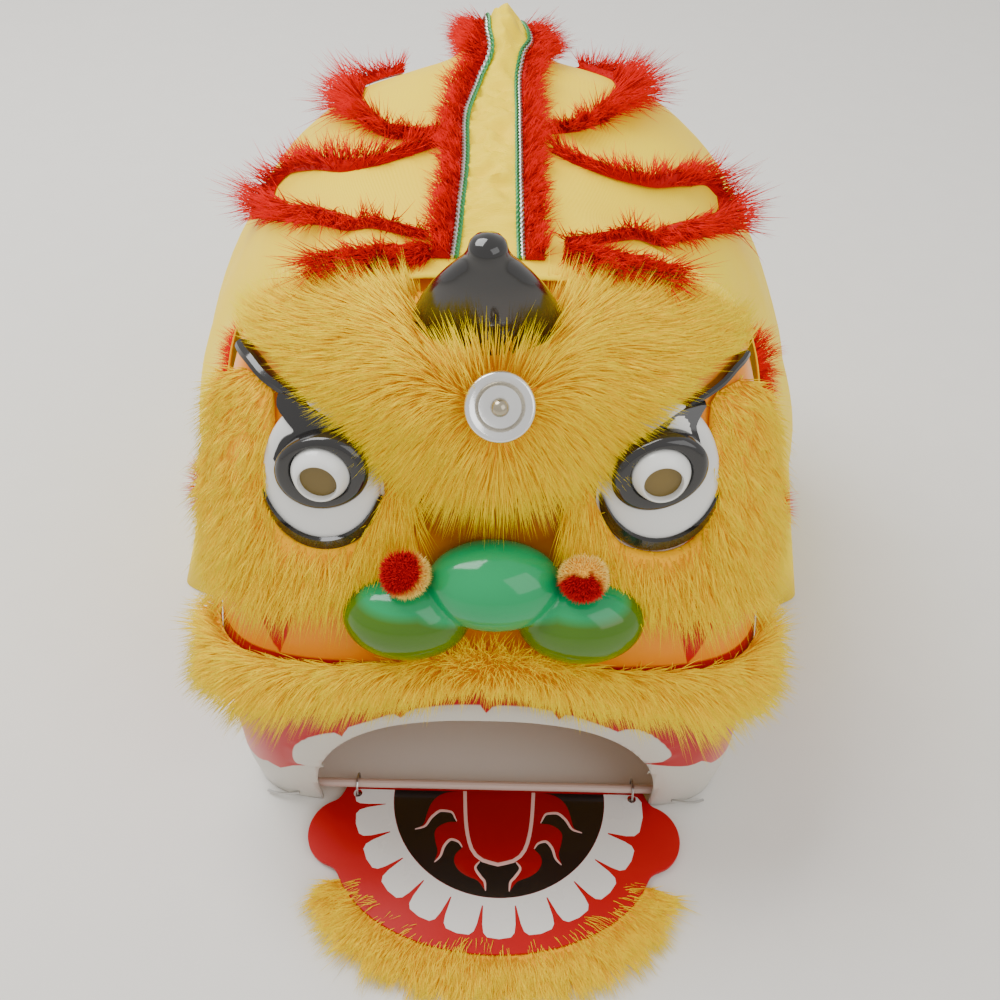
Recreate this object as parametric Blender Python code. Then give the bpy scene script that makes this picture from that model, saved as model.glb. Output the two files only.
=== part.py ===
"""A child's lion dance head: a moulded mask under faux fur, with a satin hood and a hinged jaw board.

Metres, +Z up, the face looks towards -Y. Lengths are measured from the plane of the lip, and the
empty named lion_head moves the whole so that its origin is at the middle of its footprint.
"""
import math

import bpy
import bmesh
from mathutils import Vector

# Driving sizes of the mask
MASK_WIDTH = 0.318
MASK_HEIGHT = 0.335
MASK_DEPTH = 0.145
MASK_RIM_Y = 0.118
MASK_WALL = 0.0025
MOUTH_WIDTH = 0.212
MOUTH_HEIGHT = 0.120

# Driving sizes of the hood
HOOD_WIDTH = 0.440
HOOD_HEIGHT = 0.352
HOOD_FRONT_Y = 0.105
HEM_FLARE = 0.030
TOP_REACH = 0.014
HOOD_PEAK_Y = 0.300
HOOD_BACK = 0.130
HOOD_WALL = 0.002
HEM_LIFT = 0.0005
FOLD_DEPTH = 0.006
FIN_HEIGHT = 0.034
CREST_WIDTH = 0.018
LEAF_WIDTH = 0.014
TRIM_DEPTH = 0.012
FIN_Y = 0.345
BAND_WIDTH = 0.029
BRAID_WIDTH = 0.0042
BRAID_HEIGHT = 0.003

# Driving sizes of the jaw
JAW_WIDTH = 0.235
JAW_REACH = 0.110
JAW_THICKNESS = 0.003
JAW_FLOOR_GAP = 0.0025
JAW_SHIFT = 0.006
ROD_RADIUS = 0.0028
ROD_Y = -0.0033
ROD_Z = 0.0115
RING_RADIUS = 0.007
RING_WIRE = 0.0007
BEARD_REACH = 0.036

# Driving sizes of the face's parts
FUR_DEPTH = 0.016
SEAT_GAP = 0.0005
FUR_GAP = 0.0015
LEAF_GAP = 0.0009
BRAID_GAP = 0.0013
CREST_GAP = 0.0022
TUFT_GAP = 0.0014
NOSE_WIDTH = 0.155
POMPOM_RADIUS = 0.0135
EYE_SPREAD = 0.087
EYE_LOW_Z = 0.7522 * MASK_HEIGHT
EYE_HIGH_Z = 0.7627 * MASK_HEIGHT
EYE_WIDTH = 0.062
MIRROR_RADIUS = 0.0173
MIRROR_Z = 0.8806 * MASK_HEIGHT
MIRROR_X = 0.004
HORN_WIDTH = 0.086
HORN_TIP_Z = MASK_HEIGHT + 0.048
HORN_LEAN = -0.003

# The folds of the hem reach past the hood's round back by this much
HEM_REACH = 0.72 * FOLD_DEPTH
BASE_Y = -(HOOD_PEAK_Y + HOOD_BACK + HEM_REACH - JAW_REACH - BEARD_REACH) / 2

# Columns: height, half width and depth as shares of the mask's sizes, squareness of the section
MASK_SECTIONS = (
    (0.00, 0.985, 0.883, 7.0),
    (0.15, 1.000, 0.966, 6.5),
    (0.36, 1.000, 1.000, 6.0),
    (0.45, 0.995, 0.883, 5.5),
    (0.60, 0.980, 0.745, 4.5),
    (0.75, 0.925, 0.641, 4.0),
    (0.87, 0.850, 0.524, 3.6),
    (0.92, 0.760, 0.434, 3.2),
    (0.96, 0.620, 0.297, 2.8),
    (0.985, 0.420, 0.159, 2.4),
    (1.00, 0.150, 0.069, 2.0),
)

# Columns: place from the front edge to the peak, half width and height as shares of the hood's sizes
HOOD_STATIONS = (
    (0.00, 0.730, 0.975),
    (0.20, 0.790, 0.982),
    (0.34, 0.900, 0.986),
    (0.50, 0.970, 0.990),
    (0.75, 1.000, 0.998),
    (1.00, 0.990, 1.000),
)

# Columns: distance from the ridge as a share of the half width, height as a share of the ridge's
HOOD_PROFILE = (
    (0.00, 1.000),
    (0.20, 0.985),
    (0.45, 0.930),
    (0.61, 0.855),
    (0.76, 0.725),
    (0.88, 0.560),
    (0.955, 0.390),
    (0.985, 0.200),
    (1.00, 0.000),
)

# Columns: distance from the front edge in shares of the ridge's run, half width and drift of the band
BAND_STATIONS = (
    (0.00, 0.500, -0.004),
    (0.40, 0.480, -0.003),
    (0.65, 0.370, -0.001),
    (0.74, 0.280, 0.001),
    (0.82, 0.340, 0.003),
    (0.91, 0.450, 0.000),
    (1.00, 0.180, -0.006),
)


def between(table, place, column, key=0):
    """The value of one column at a place in a table, on a smooth curve through its rows."""
    rows = list(table)
    if place <= rows[0][key]:
        return rows[0][column]
    if place >= rows[-1][key]:
        return rows[-1][column]
    index = 0
    while rows[index + 1][key] < place:
        index += 1
    span = rows[index + 1][key] - rows[index][key]
    share = (place - rows[index][key]) / span
    rise = rows[index + 1][column] - rows[index][column]
    slopes = []
    for near in (index, index + 1):
        low = max(near - 1, 0)
        high = min(near + 1, len(rows) - 1)
        before = (rows[near][column] - rows[low][column]) / max(rows[near][key] - rows[low][key], 1e-9)
        after = (rows[high][column] - rows[near][column]) / max(rows[high][key] - rows[near][key], 1e-9)
        if near == low:
            before = after
        if near == high:
            after = before
        slopes.append(0.0 if before * after <= 0 else 2 * before * after / (before + after))
    start, end = slopes[0] * span, slopes[1] * span
    cubic = (2 * share ** 3 - 3 * share ** 2 + 1) * rows[index][column]
    cubic += (share ** 3 - 2 * share ** 2 + share) * start
    cubic += (3 * share ** 2 - 2 * share ** 3) * (rows[index][column] + rise)
    return cubic + (share ** 3 - share ** 2) * end


def finish(name, color, roughness, metallic=0.0):
    """A plain Principled material."""
    made = bpy.data.materials.get(name)
    if made:
        return made
    made = bpy.data.materials.new(name)
    made.use_nodes = True
    shader = made.node_tree.nodes["Principled BSDF"]
    shader.inputs["Base Color"].default_value = (*color, 1.0)
    shader.inputs["Roughness"].default_value = roughness
    shader.inputs["Metallic"].default_value = metallic
    return made


YELLOW_FUR = ("yellow fur", (0.95, 0.55, 0.03), 0.9)
RED_FUR = ("red fur", (0.75, 0.02, 0.02), 0.9)
SATIN = ("yellow satin", (0.95, 0.75, 0.08), 0.45)
ORANGE_PLASTIC = ("orange plastic", (0.85, 0.35, 0.04), 0.35)
GREEN_PLASTIC = ("green plastic", (0.02, 0.35, 0.12), 0.15)
BLACK_PLASTIC = ("black plastic", (0.015, 0.013, 0.012), 0.15)
WHITE_PLASTIC = ("white plastic", (0.8, 0.8, 0.78), 0.35)
SILVER = ("silver plating", (0.8, 0.8, 0.8), 0.2, 1.0)
RED_BOARD = ("red board", (0.65, 0.02, 0.02), 0.4)
POMPOM_WOOL = ("pompom wool", (0.7, 0.03, 0.03), 0.95)
BRAID = ("green braid", (0.1, 0.45, 0.15), 0.4, 0.5)
WIRE = ("wire", (0.6, 0.6, 0.58), 0.35, 1.0)
PALE_ROD = ("pale rod", (0.7, 0.6, 0.5), 0.4)

for old in list(bpy.data.objects):
    bpy.data.objects.remove(old, do_unlink=True)

lion_head = bpy.data.objects.new("lion_head", None)
lion_head.location = (0.0, BASE_Y, 0.0)
bpy.context.collection.objects.link(lion_head)
jaw_axis = bpy.data.objects.new("jaw_axis", None)
jaw_axis.parent = lion_head
jaw_axis.location = (0.0, ROD_Y, ROD_Z)
bpy.context.collection.objects.link(jaw_axis)


def place(name, mesh, look, parent=lion_head):
    """One named piece from a bmesh in lip coordinates."""
    bmesh.ops.remove_doubles(mesh, verts=mesh.verts, dist=1e-5)
    if parent is not lion_head:
        for vert in mesh.verts:
            vert.co -= parent.location
    bmesh.ops.recalc_face_normals(mesh, faces=mesh.faces)
    if mesh.calc_volume(signed=True) < 0:
        bmesh.ops.reverse_faces(mesh, faces=mesh.faces)
    data = bpy.data.meshes.new(name)
    mesh.to_mesh(data)
    mesh.free()
    data.materials.append(finish(*look))
    data.shade_smooth()
    data.set_sharp_from_angle(angle=math.radians(40))
    piece = bpy.data.objects.new(name, data)
    piece.parent = parent
    bpy.context.collection.objects.link(piece)
    return piece


def cutter(name, mesh):
    """A hidden shape that Booleans take away."""
    shape = place(name, mesh, WHITE_PLASTIC)
    shape.hide_render = True
    shape.display_type = "WIRE"
    return shape


def cut(piece, shape):
    """Takes a cutter's shape away from a piece."""
    boolean = piece.modifiers.new("cut " + shape.name, "BOOLEAN")
    boolean.object = shape
    boolean.operation = "DIFFERENCE"


def join(piece, other):
    """Unites a hidden shape with a piece."""
    other.hide_render = True
    other.display_type = "WIRE"
    boolean = piece.modifiers.new("join " + other.name, "BOOLEAN")
    boolean.object = other
    boolean.operation = "UNION"


def add_grid(mesh, points, flip=False, around=False):
    """Quads between rows of points; returns the rows of vertices."""
    rows = [[mesh.verts.new(point) for point in row] for row in points]
    for near, far in zip(rows, rows[1:]):
        columns = len(near) if around else len(near) - 1
        for index in range(columns):
            after = (index + 1) % len(near)
            corners = [near[index], near[after], far[after], far[index]]
            mesh.faces.new(corners[::-1] if flip else corners)
    return rows


def slab(inner, outer):
    """A closed pad between two grids of points with the same rows and columns."""
    mesh = bmesh.new()
    low = add_grid(mesh, inner)
    high = add_grid(mesh, outer, flip=True)
    last = len(low[0]) - 1
    for index in range(last):
        mesh.faces.new((low[0][index + 1], low[0][index], high[0][index], high[0][index + 1]))
        mesh.faces.new((low[-1][index], low[-1][index + 1], high[-1][index + 1], high[-1][index]))
    for index in range(len(low) - 1):
        mesh.faces.new((low[index][0], low[index + 1][0], high[index + 1][0], high[index][0]))
        mesh.faces.new((low[index + 1][last], low[index][last], high[index][last], high[index + 1][last]))
    return mesh


def turned(profile, centre, axis, sides, squash=(1.0, 1.0)):
    """A closed shape turned about an axis: the profile holds (radius, height) pairs, ends on the axis."""
    axis = Vector(axis).normalized()
    across = axis.cross(Vector((0, 0, 1)) if abs(axis.z) < 0.9 else Vector((0, 1, 0))).normalized()
    along = axis.cross(across)
    mesh = bmesh.new()
    rows = []
    for radius, height in profile:
        row = []
        for index in range(sides):
            turn = 2 * math.pi * index / sides
            spoke = across * math.cos(turn) * squash[0] + along * math.sin(turn) * squash[1]
            row.append(Vector(centre) + axis * height + spoke * radius)
        rows.append(row)
    add_grid(mesh, rows, around=True)
    bmesh.ops.remove_doubles(mesh, verts=mesh.verts, dist=1e-6)
    return mesh


def tube(points, radius, sides, closed=False):
    """A round wire along points."""
    mesh = bmesh.new()
    count = len(points)
    rows = []
    for index, point in enumerate(points):
        before = points[(index - 1) % count] if closed or index else points[0]
        after = points[(index + 1) % count] if closed or index < count - 1 else points[-1]
        run = (Vector(after) - Vector(before)).normalized()
        across = run.cross(Vector((0, 0, 1)) if abs(run.z) < 0.8 else Vector((1, 0, 0))).normalized()
        over = across.cross(run)
        row = []
        for side in range(sides):
            turn = 2 * math.pi * side / sides
            row.append(Vector(point) + (across * math.cos(turn) + over * math.sin(turn)) * radius)
        rows.append(row)
    if closed:
        rows.append(rows[0])
    rings = add_grid(mesh, rows, around=True)
    if not closed:
        mesh.faces.new(rings[0])
        mesh.faces.new(rings[-1][::-1])
    return mesh


def ellipsoid(centre, radii, sides, rings):
    """A ball stretched along the three axes."""
    mesh = bmesh.new()
    bmesh.ops.create_uvsphere(mesh, u_segments=sides, v_segments=rings, radius=1.0)
    for vert in mesh.verts:
        vert.co = Vector([c + v * r for c, v, r in zip(centre, vert.co, radii)])
    return mesh


# The mask's outer surface


def mask_at(turn, height, out=0.0):
    """A point of the mask at an angle from the nose line and a height share, moved out by a gap."""
    half = between(MASK_SECTIONS, height, 1) * MASK_WIDTH / 2 + out
    depth = between(MASK_SECTIONS, height, 2) * MASK_DEPTH + out
    square = between(MASK_SECTIONS, height, 3)
    side, front = math.sin(turn), math.cos(turn)
    reach = (abs(side) ** square + abs(front) ** square) ** (-1 / square)
    lift = out * max(0.0, (height - 0.8) / 0.2)
    return Vector((half * reach * side, MASK_RIM_Y - depth * reach * front, height * MASK_HEIGHT + lift))


def mask_front(x, z, out=0.0):
    """The mask's point in front at a distance from the nose line and a height."""
    height = z / MASK_HEIGHT
    half = between(MASK_SECTIONS, height, 1) * MASK_WIDTH / 2 + out
    depth = between(MASK_SECTIONS, height, 2) * MASK_DEPTH + out
    square = between(MASK_SECTIONS, height, 3)
    share = min(abs(x) / half, 0.999)
    return Vector((x, MASK_RIM_Y - depth * (1 - share ** square) ** (1 / square), z))


def mask_out(point_of, first, second, step=0.01):
    """The outward direction of a surface given by two numbers."""
    run = point_of(first + step, second) - point_of(first - step, second)
    rise = point_of(first, second + step) - point_of(first, second - step)
    return run.cross(rise).normalized()


def half_turns(count):
    """Angles from the left rim to the right rim."""
    return [math.pi * (index / count - 0.5) for index in range(count + 1)]


def mask_solid(out, heights, turns):
    """A closed core inside the mask's outer surface, for seating what lies on it."""
    mesh = bmesh.new()
    rows = []
    for height in heights:
        row = [mask_at(turn, height, out) for turn in turns]
        row.append(Vector((row[-1].x, MASK_RIM_Y + 0.05, row[-1].z)))
        row.append(Vector((row[0].x, MASK_RIM_Y + 0.05, row[0].z)))
        rows.append(row)
    rings = add_grid(mesh, rows, around=True)
    mesh.faces.new(rings[0])
    mesh.faces.new(rings[-1][::-1])
    return mesh


MASK_HEIGHTS = [row[0] for row in MASK_SECTIONS]
MASK_ROWS = []
for low, high in zip(MASK_HEIGHTS, MASK_HEIGHTS[1:]):
    MASK_ROWS += [low, (low + high) / 2] if high - low > 0.07 else [low]
MASK_ROWS.append(1.0)

shell = bmesh.new()
add_grid(shell, [[mask_at(turn, height) for turn in half_turns(18)] for height in MASK_ROWS])
face_shell = place("face_shell", shell, ORANGE_PLASTIC)
wall = face_shell.modifiers.new("wall", "SOLIDIFY")
wall.thickness = MASK_WALL
wall.offset = -1.0
wall.use_even_offset = True

MOUTH_SQUARE = 2.8


def mouth_outline(count):
    """The mouth's arch from its left foot over the top to its right foot."""
    points = []
    for index in range(count + 1):
        turn = math.pi * index / count
        side, up = -math.cos(turn), math.sin(turn)
        reach = (abs(side) ** MOUTH_SQUARE + abs(up) ** MOUTH_SQUARE) ** (-1 / MOUTH_SQUARE)
        points.append((side * reach * MOUTH_WIDTH / 2, up * reach * MOUTH_HEIGHT))
    return [(points[0][0], -0.02)] + points + [(points[-1][0], -0.02)]


arch = bmesh.new()
arch_rows = [[Vector((x, y, z)) for x, z in mouth_outline(22)] for y in (-0.08, MASK_RIM_Y - 0.04)]
arch_rings = add_grid(arch, arch_rows, around=True)
arch.faces.new(arch_rings[0])
arch.faces.new(arch_rings[-1][::-1])
cut(face_shell, cutter("mouth_arch", arch))

face_core = cutter("face_core", mask_solid(SEAT_GAP, MASK_ROWS, half_turns(18)))


# Fur pads that follow the mask

LOCK_OVERHANG = 0.011


def fur_share(u, v):
    """How thick a pad is at a place: thin at the ends and edges, full between."""
    return (max(0.0, 1 - abs(2 * u - 1) ** 4) * max(0.0, 1 - abs(2 * v - 1) ** 3)) ** 0.5


def face_pad(name, lower, upper, columns, rows, depth, locks, look=YELLOW_FUR, edge=0.002):
    """A fur pad on the mask with overhanging locks: lower and upper give (turn, height) of its edges."""
    inner, outer = [], []
    for row in range(rows + 1):
        v = row / rows
        low_row, high_row = [], []
        for column in range(columns + 1):
            u = column / columns
            low, high = lower(u), upper(u)
            turn = low[0] + (high[0] - low[0]) * v
            height = low[1] + (high[1] - low[1]) * v
            seat = mask_at(turn, height, FUR_GAP)
            out = mask_out(mask_at, turn, min(max(height, 0.02), 0.97))
            lock = 1 + (0.16 if column % 2 else -0.16) * (1 - v)
            overhang = LOCK_OVERHANG * (1 - v) ** 2 * min(1.0, 8 * u, 8 * (1 - u))
            thick = edge + max(depth(u) * fur_share(u, v) * lock, overhang)
            droop = -locks * (1 - v) ** 2 * (1.0 if column % 2 else 0.35)
            low_row.append(seat)
            tip = seat + out * thick
            tip.z += droop
            high_row.append(tip)
        inner.append(low_row)
        outer.append(high_row)
    return place(name, slab(inner, outer), look)


BROW_LINE = (
    # Columns: turn from the nose line in degrees, height share of the lower edge, of the upper edge
    (-70.0, 0.880, 0.930),
    (-60.0, 0.900, 0.955),
    (-45.0, 0.908, 0.972),
    (-34.0, 0.892, 0.976),
    (-27.0, 0.860, 0.978),
    (-18.0, 0.800, 0.980),
    (0.0, 0.745, 0.982),
    (18.0, 0.800, 0.980),
    (27.0, 0.860, 0.978),
    (34.0, 0.892, 0.976),
    (45.0, 0.908, 0.972),
    (60.0, 0.900, 0.955),
    (70.0, 0.880, 0.930),
)


def edge_of(table, column):
    """An edge of a pad from a table of turns and heights."""
    first, last = table[0][0], table[-1][0]

    def edge(u):
        turn = first + (last - first) * u
        return math.radians(turn), between(table, turn, column)

    return edge


brow_fur = face_pad(
    "brow_fur", edge_of(BROW_LINE, 1), edge_of(BROW_LINE, 2), 26, 5,
    lambda u: FUR_DEPTH * (0.75 + 0.45 * math.sin(math.pi * u)), 0.011)

CHEEK_RIGHT = (
    # Columns: turn from the nose line in degrees, height share of the lower edge, of the upper edge
    (31.0, 0.520, 0.598),
    (37.0, 0.505, 0.603),
    (42.0, 0.495, 0.612),
    (47.0, 0.490, 0.700),
    (52.0, 0.490, 0.820),
    (58.0, 0.485, 0.845),
    (67.0, 0.475, 0.840),
)
CHEEK_LEFT = tuple((-turn, low, high) for turn, low, high in reversed(CHEEK_RIGHT))
for side, table in (("left", CHEEK_LEFT), ("right", CHEEK_RIGHT)):
    face_pad("cheek_fur_" + side, edge_of(table, 1), edge_of(table, 2), 14, 4,
             lambda u: 0.62 * FUR_DEPTH, 0.012)

MOUSTACHE_LINE = (
    # Columns: turn from the nose line in degrees, height share of the lower edge, of the upper edge
    (-68.0, 0.330, 0.455),
    (-50.0, 0.370, 0.460),
    (-25.0, 0.395, 0.452),
    (0.0, 0.410, 0.468),
    (25.0, 0.395, 0.452),
    (50.0, 0.370, 0.460),
    (68.0, 0.330, 0.455),
)
face_pad("moustache_fur", edge_of(MOUSTACHE_LINE, 1), edge_of(MOUSTACHE_LINE, 2), 30, 4,
         lambda u: 1.15 * FUR_DEPTH, 0.010)

# The nose: a bulb between two lobes, in one glossy moulding
NOSE_Z = 0.6209 * MASK_HEIGHT
NOSE_X = 0.003
LOBE_Z = 0.5582 * MASK_HEIGHT
LOBE_OUT = 0.3 * NOSE_WIDTH
BULB_RADII = (0.235 * NOSE_WIDTH, 0.025, 0.027)
LOBE_RADII = (0.205 * NOSE_WIDTH, 0.023, 0.024)
bulb_centre = mask_front(NOSE_X, NOSE_Z) + Vector((0, -0.012, 0))
lobe_centres = [mask_front(NOSE_X + side * LOBE_OUT, LOBE_Z) + Vector((0, -0.010, 0)) for side in (-1, 1)]
nose = place("nose", ellipsoid(bulb_centre, BULB_RADII, 14, 8), GREEN_PLASTIC)
for lobe_centre in lobe_centres:
    join(nose, place("lobe_form", ellipsoid(lobe_centre, LOBE_RADII, 14, 8), GREEN_PLASTIC))
cut(nose, face_core)

POMPOM_SEAT = Vector((0, -0.022, 0.006))
for side, x, lobe_centre in (("left", -1, lobe_centres[0]), ("right", 1, lobe_centres[1])):
    centre = mask_front(NOSE_X + x * 0.98 * LOBE_OUT, NOSE_Z + 0.010) + POMPOM_SEAT
    pompom = bmesh.new()
    bmesh.ops.create_icosphere(pompom, subdivisions=2, radius=POMPOM_RADIUS)
    for vert in pompom.verts:
        vert.co += centre
    pompom = place("nose_pompom_" + side, pompom, POMPOM_WOOL)
    for form, middle, radii in (("lobe", lobe_centre, LOBE_RADII), ("bulb", bulb_centre, BULB_RADII)):
        clear = ellipsoid(middle, [radius + SEAT_GAP for radius in radii], 14, 8)
        cut(pompom, cutter(form + "_clearance_" + side, clear))
    cut(pompom, face_core)

# Eyes: a white bulge, a black lid ring with its flap, and a white cup with a hollow pupil
EYE_BULGE = 0.0085
CUP_RISE = 0.0085
CUP_SHIFT = 0.0055
EYE_TALL = 1.48
LID_RADIUS = 0.0235
CUP_RADIUS = 0.0165
LID_THICK = 0.006
STRIP_FROM = 22.0
STRIP_TO = 66.0
STRIP_CLEAR = 0.0080
STRIP_TALL = 0.008
STRIP_THICK = 0.004
EYE_TOP_CUT = 0.018


def strip_edge(turn):
    """Height share of the brow strip's upper edge at an angle in degrees."""
    return between(BROW_LINE, turn, 1) - STRIP_CLEAR / MASK_HEIGHT


def strip_band(side, low, high, near, far):
    """A band along the brow strip, between two lengths below its upper edge and two gaps from the mask."""
    rows_in, rows_out = [], []
    for step in range(13):
        turn = side * (STRIP_FROM + (STRIP_TO - STRIP_FROM) * step / 12)
        edge = strip_edge(turn)
        base = [mask_at(math.radians(turn), edge - drop / MASK_HEIGHT) for drop in (low, high)]
        out = mask_out(mask_at, math.radians(turn), edge)
        rows_in.append([point + out * near for point in base])
        rows_out.append([point + out * far for point in base])
    return slab(rows_in, rows_out)


for side, x, eye_z in (("left", -1, EYE_LOW_Z), ("right", 1, EYE_HIGH_Z)):
    seat = mask_front(x * EYE_SPREAD, eye_z)
    facing = Vector((0.10 * x, -1.0, 0.34)).normalized()
    axis_x = facing.cross(Vector((0, 0, 1))).normalized()
    axis_z = axis_x.cross(facing)
    bulge = [(0.0, EYE_BULGE)]
    for step in range(1, 5):
        turn = math.pi / 2 * step / 4
        bulge.append((math.sin(turn), EYE_BULGE * math.cos(turn)))
    bulge += [(1.0, -0.02), (0.0, -0.02)]
    white = turned(bulge, seat, facing, 20, (EYE_WIDTH / 2, EYE_TALL * EYE_WIDTH / 2))
    white = place("eye_white_" + side, white, WHITE_PLASTIC)
    cut(white, face_core)
    above = cutter("brow_clearance_" + side, strip_band(x, STRIP_TALL + 3 * SEAT_GAP, -EYE_TOP_CUT, -0.02, 0.03))
    cut(white, above)
    ring_centre = seat + axis_z * CUP_RISE + axis_x * (x * CUP_SHIFT) + facing * (EYE_BULGE + SEAT_GAP)
    ring = bmesh.new()
    rows = []
    for radius, high in ((CUP_RADIUS, 0.0), (LID_RADIUS, 0.0), (LID_RADIUS, LID_THICK * 0.5),
                         (LID_RADIUS - 0.002, LID_THICK), (CUP_RADIUS, LID_THICK)):
        row = []
        for index in range(20):
            turn = 2 * math.pi * index / 20
            flap = 1 + 0.30 * max(0.0, math.cos(turn - math.radians(90 - 38 * x))) ** 6
            spread = radius * (flap if radius > CUP_RADIUS else 1.0)
            spoke = axis_z * math.sin(turn) - axis_x * math.cos(turn)
            row.append(ring_centre + facing * high + spoke * spread)
        rows.append(row)
    rows.append(rows[0])
    add_grid(ring, rows, around=True)
    lid = place("eye_lid_" + side, ring, BLACK_PLASTIC)
    cut(lid, above)
    cup_wall = CUP_RADIUS - SEAT_GAP
    cup = [(0.0, 0.0), (cup_wall, 0.0), (cup_wall, 0.010), (cup_wall - 0.001, 0.0118),
           (0.0112, 0.0118), (0.0098, 0.0105), (0.0098, 0.0020), (0.0, 0.0020)]
    place("eye_cup_" + side, turned(cup, ring_centre, facing, 16), WHITE_PLASTIC)
    place("brow_strip_" + side, strip_band(x, 0.0, STRIP_TALL, 2 * SEAT_GAP, STRIP_THICK), BLACK_PLASTIC)

# The forehead mirror on its stem, with a bead in its middle
mirror_seat = mask_front(MIRROR_X, MIRROR_Z)
mirror_facing = Vector((0.0, -0.80, 0.60)).normalized()
mirror_centre = mirror_seat + mirror_facing * (1.30 * FUR_DEPTH)
STEM_RADIUS = 0.0045
STEM_LENGTH = 1.32 * FUR_DEPTH
# Columns: radius, height along the axis, from the stem's foot over the raised rim to the middle
disc = [(0.0, -STEM_LENGTH), (STEM_RADIUS, -STEM_LENGTH), (STEM_RADIUS, -0.0015),
        (0.87 * MIRROR_RADIUS, -0.0015), (MIRROR_RADIUS, 0.0), (MIRROR_RADIUS, 0.0016), (0.925 * MIRROR_RADIUS, 0.0026),
        (0.65 * MIRROR_RADIUS, 0.0012), (0.61 * MIRROR_RADIUS, 0.0004), (0.0, 0.0004)]
mirror = place("forehead_mirror", turned(disc, mirror_centre, mirror_facing, 18), SILVER)
cut(mirror, face_core)
BEAD_RADIUS = 0.0046
BEAD_LOW = 0.0008
bead = []
for step in range(8):
    turn = math.pi * step / 7
    bead.append((BEAD_RADIUS * math.sin(turn), BEAD_RADIUS * (1 - math.cos(turn)) + BEAD_LOW))
place("mirror_bead", turned(bead, mirror_centre, mirror_facing, 14), SILVER)
clear = [(0.0, -0.05), (STEM_RADIUS + 0.0008, -0.05), (STEM_RADIUS + 0.0008, -0.0022),
         (MIRROR_RADIUS + 0.0006, -0.0022), (MIRROR_RADIUS + 0.0006, 0.05), (0.0, 0.05)]
cut(brow_fur, cutter("mirror_clearance", turned(clear, mirror_centre, mirror_facing, 18)))

# The horn: a glossy hooked cone with a knob at its tip
HORN_BASE = Vector((HORN_LEAN, 0.077, MASK_HEIGHT - 0.035))
# Columns: height share, width share of the half base, depth share of it, forward lean share of it
HORN_SECTIONS = (
    (0.00, 1.00, 0.56, 0.00),
    (0.28, 0.88, 0.48, 0.08),
    (0.50, 0.66, 0.38, 0.22),
    (0.70, 0.40, 0.28, 0.36),
    (0.82, 0.235, 0.21, 0.44),
    (0.91, 0.235, 0.23, 0.46),
    (0.98, 0.15, 0.15, 0.46),
    (1.00, 0.0, 0.0, 0.46),
)


def horn_form(grow):
    """The horn, larger by a gap where it clears the fur."""
    mesh = bmesh.new()
    rows = []
    for share, wide, deep, lean in HORN_SECTIONS:
        centre = HORN_BASE + Vector((0, -lean * HORN_WIDTH / 2, share * (HORN_TIP_Z - HORN_BASE.z + grow)))
        row = []
        for index in range(20):
            turn = 2 * math.pi * index / 20
            row.append(centre + Vector((math.cos(turn) * (wide * HORN_WIDTH / 2 + grow),
                                        math.sin(turn) * (deep * HORN_WIDTH / 2 + grow), 0)))
        rows.append(row)
    rings = add_grid(mesh, rows, around=True)
    mesh.faces.new(rings[0])
    if grow:
        mesh.faces.new(rings[-1][::-1])
    return mesh


horn = place("horn", horn_form(0.0), BLACK_PLASTIC)
cut(horn, face_core)
cut(brow_fur, cutter("horn_clearance", horn_form(0.0008)))


# The hood's outer surface

RIM_SHARE = (MASK_RIM_Y + 0.003 - HOOD_FRONT_Y) / (HOOD_PEAK_Y - HOOD_FRONT_Y)


def hood_reach(turn):
    """Half width of the hood behind its peak, at an angle from straight across to straight back."""
    side = between(HOOD_STATIONS, 1.0, 1) * HOOD_WIDTH / 2
    return 1 / math.sqrt((math.cos(turn) / side) ** 2 + (math.sin(turn) / HOOD_BACK) ** 2)


def folds(across, height):
    """Soft upright folds that fade out upwards."""
    return FOLD_DEPTH * math.sin(11 * across) * (1 - min(height, 1.0)) ** 1.5


def fin(x, y):
    """The pointed fold that the band makes on the ridge."""
    run = (y - FIN_Y) / 0.045
    return FIN_HEIGHT * math.exp(-(x / 0.020) ** 2) * math.exp(-run * run)


def hood_section(place_share, ridge_share):
    """Distance from the spine and height: 0 to 1 runs to the peak, 1 to 2 round the back."""
    rise = between(HOOD_PROFILE, ridge_share, 1)
    if place_share > 1:
        half = hood_reach(math.pi / 2 * (place_share - 1))
        tall = HOOD_HEIGHT
    else:
        half = between(HOOD_STATIONS, place_share, 1) * HOOD_WIDTH / 2
        tall = between(HOOD_STATIONS, place_share, 2) * HOOD_HEIGHT
    out = half * ridge_share + folds(place_share * 2.2, rise) * min(1.0, place_share * 3)
    out += HEM_FLARE * (1 - min(rise, 1.0)) ** 3 * math.exp(-((place_share - 0.36) / 0.14) ** 2)
    rim_clear = HOOD_WALL + 0.0012
    rim_out = (between(MASK_SECTIONS, rise, 1) * MASK_WIDTH / 2 + rim_clear) * min(1.0, ridge_share / 0.04)
    rim_high = rise * MASK_HEIGHT + rim_clear * rise
    free = min(max((place_share - RIM_SHARE) / 0.20, 0.0), 1.0)
    free = free * free * (3 - 2 * free)
    high = rim_high + (rise * tall - rim_high) * free + HEM_LIFT * (1 - rise)
    return rim_out + (out - rim_out) * free, high


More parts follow.
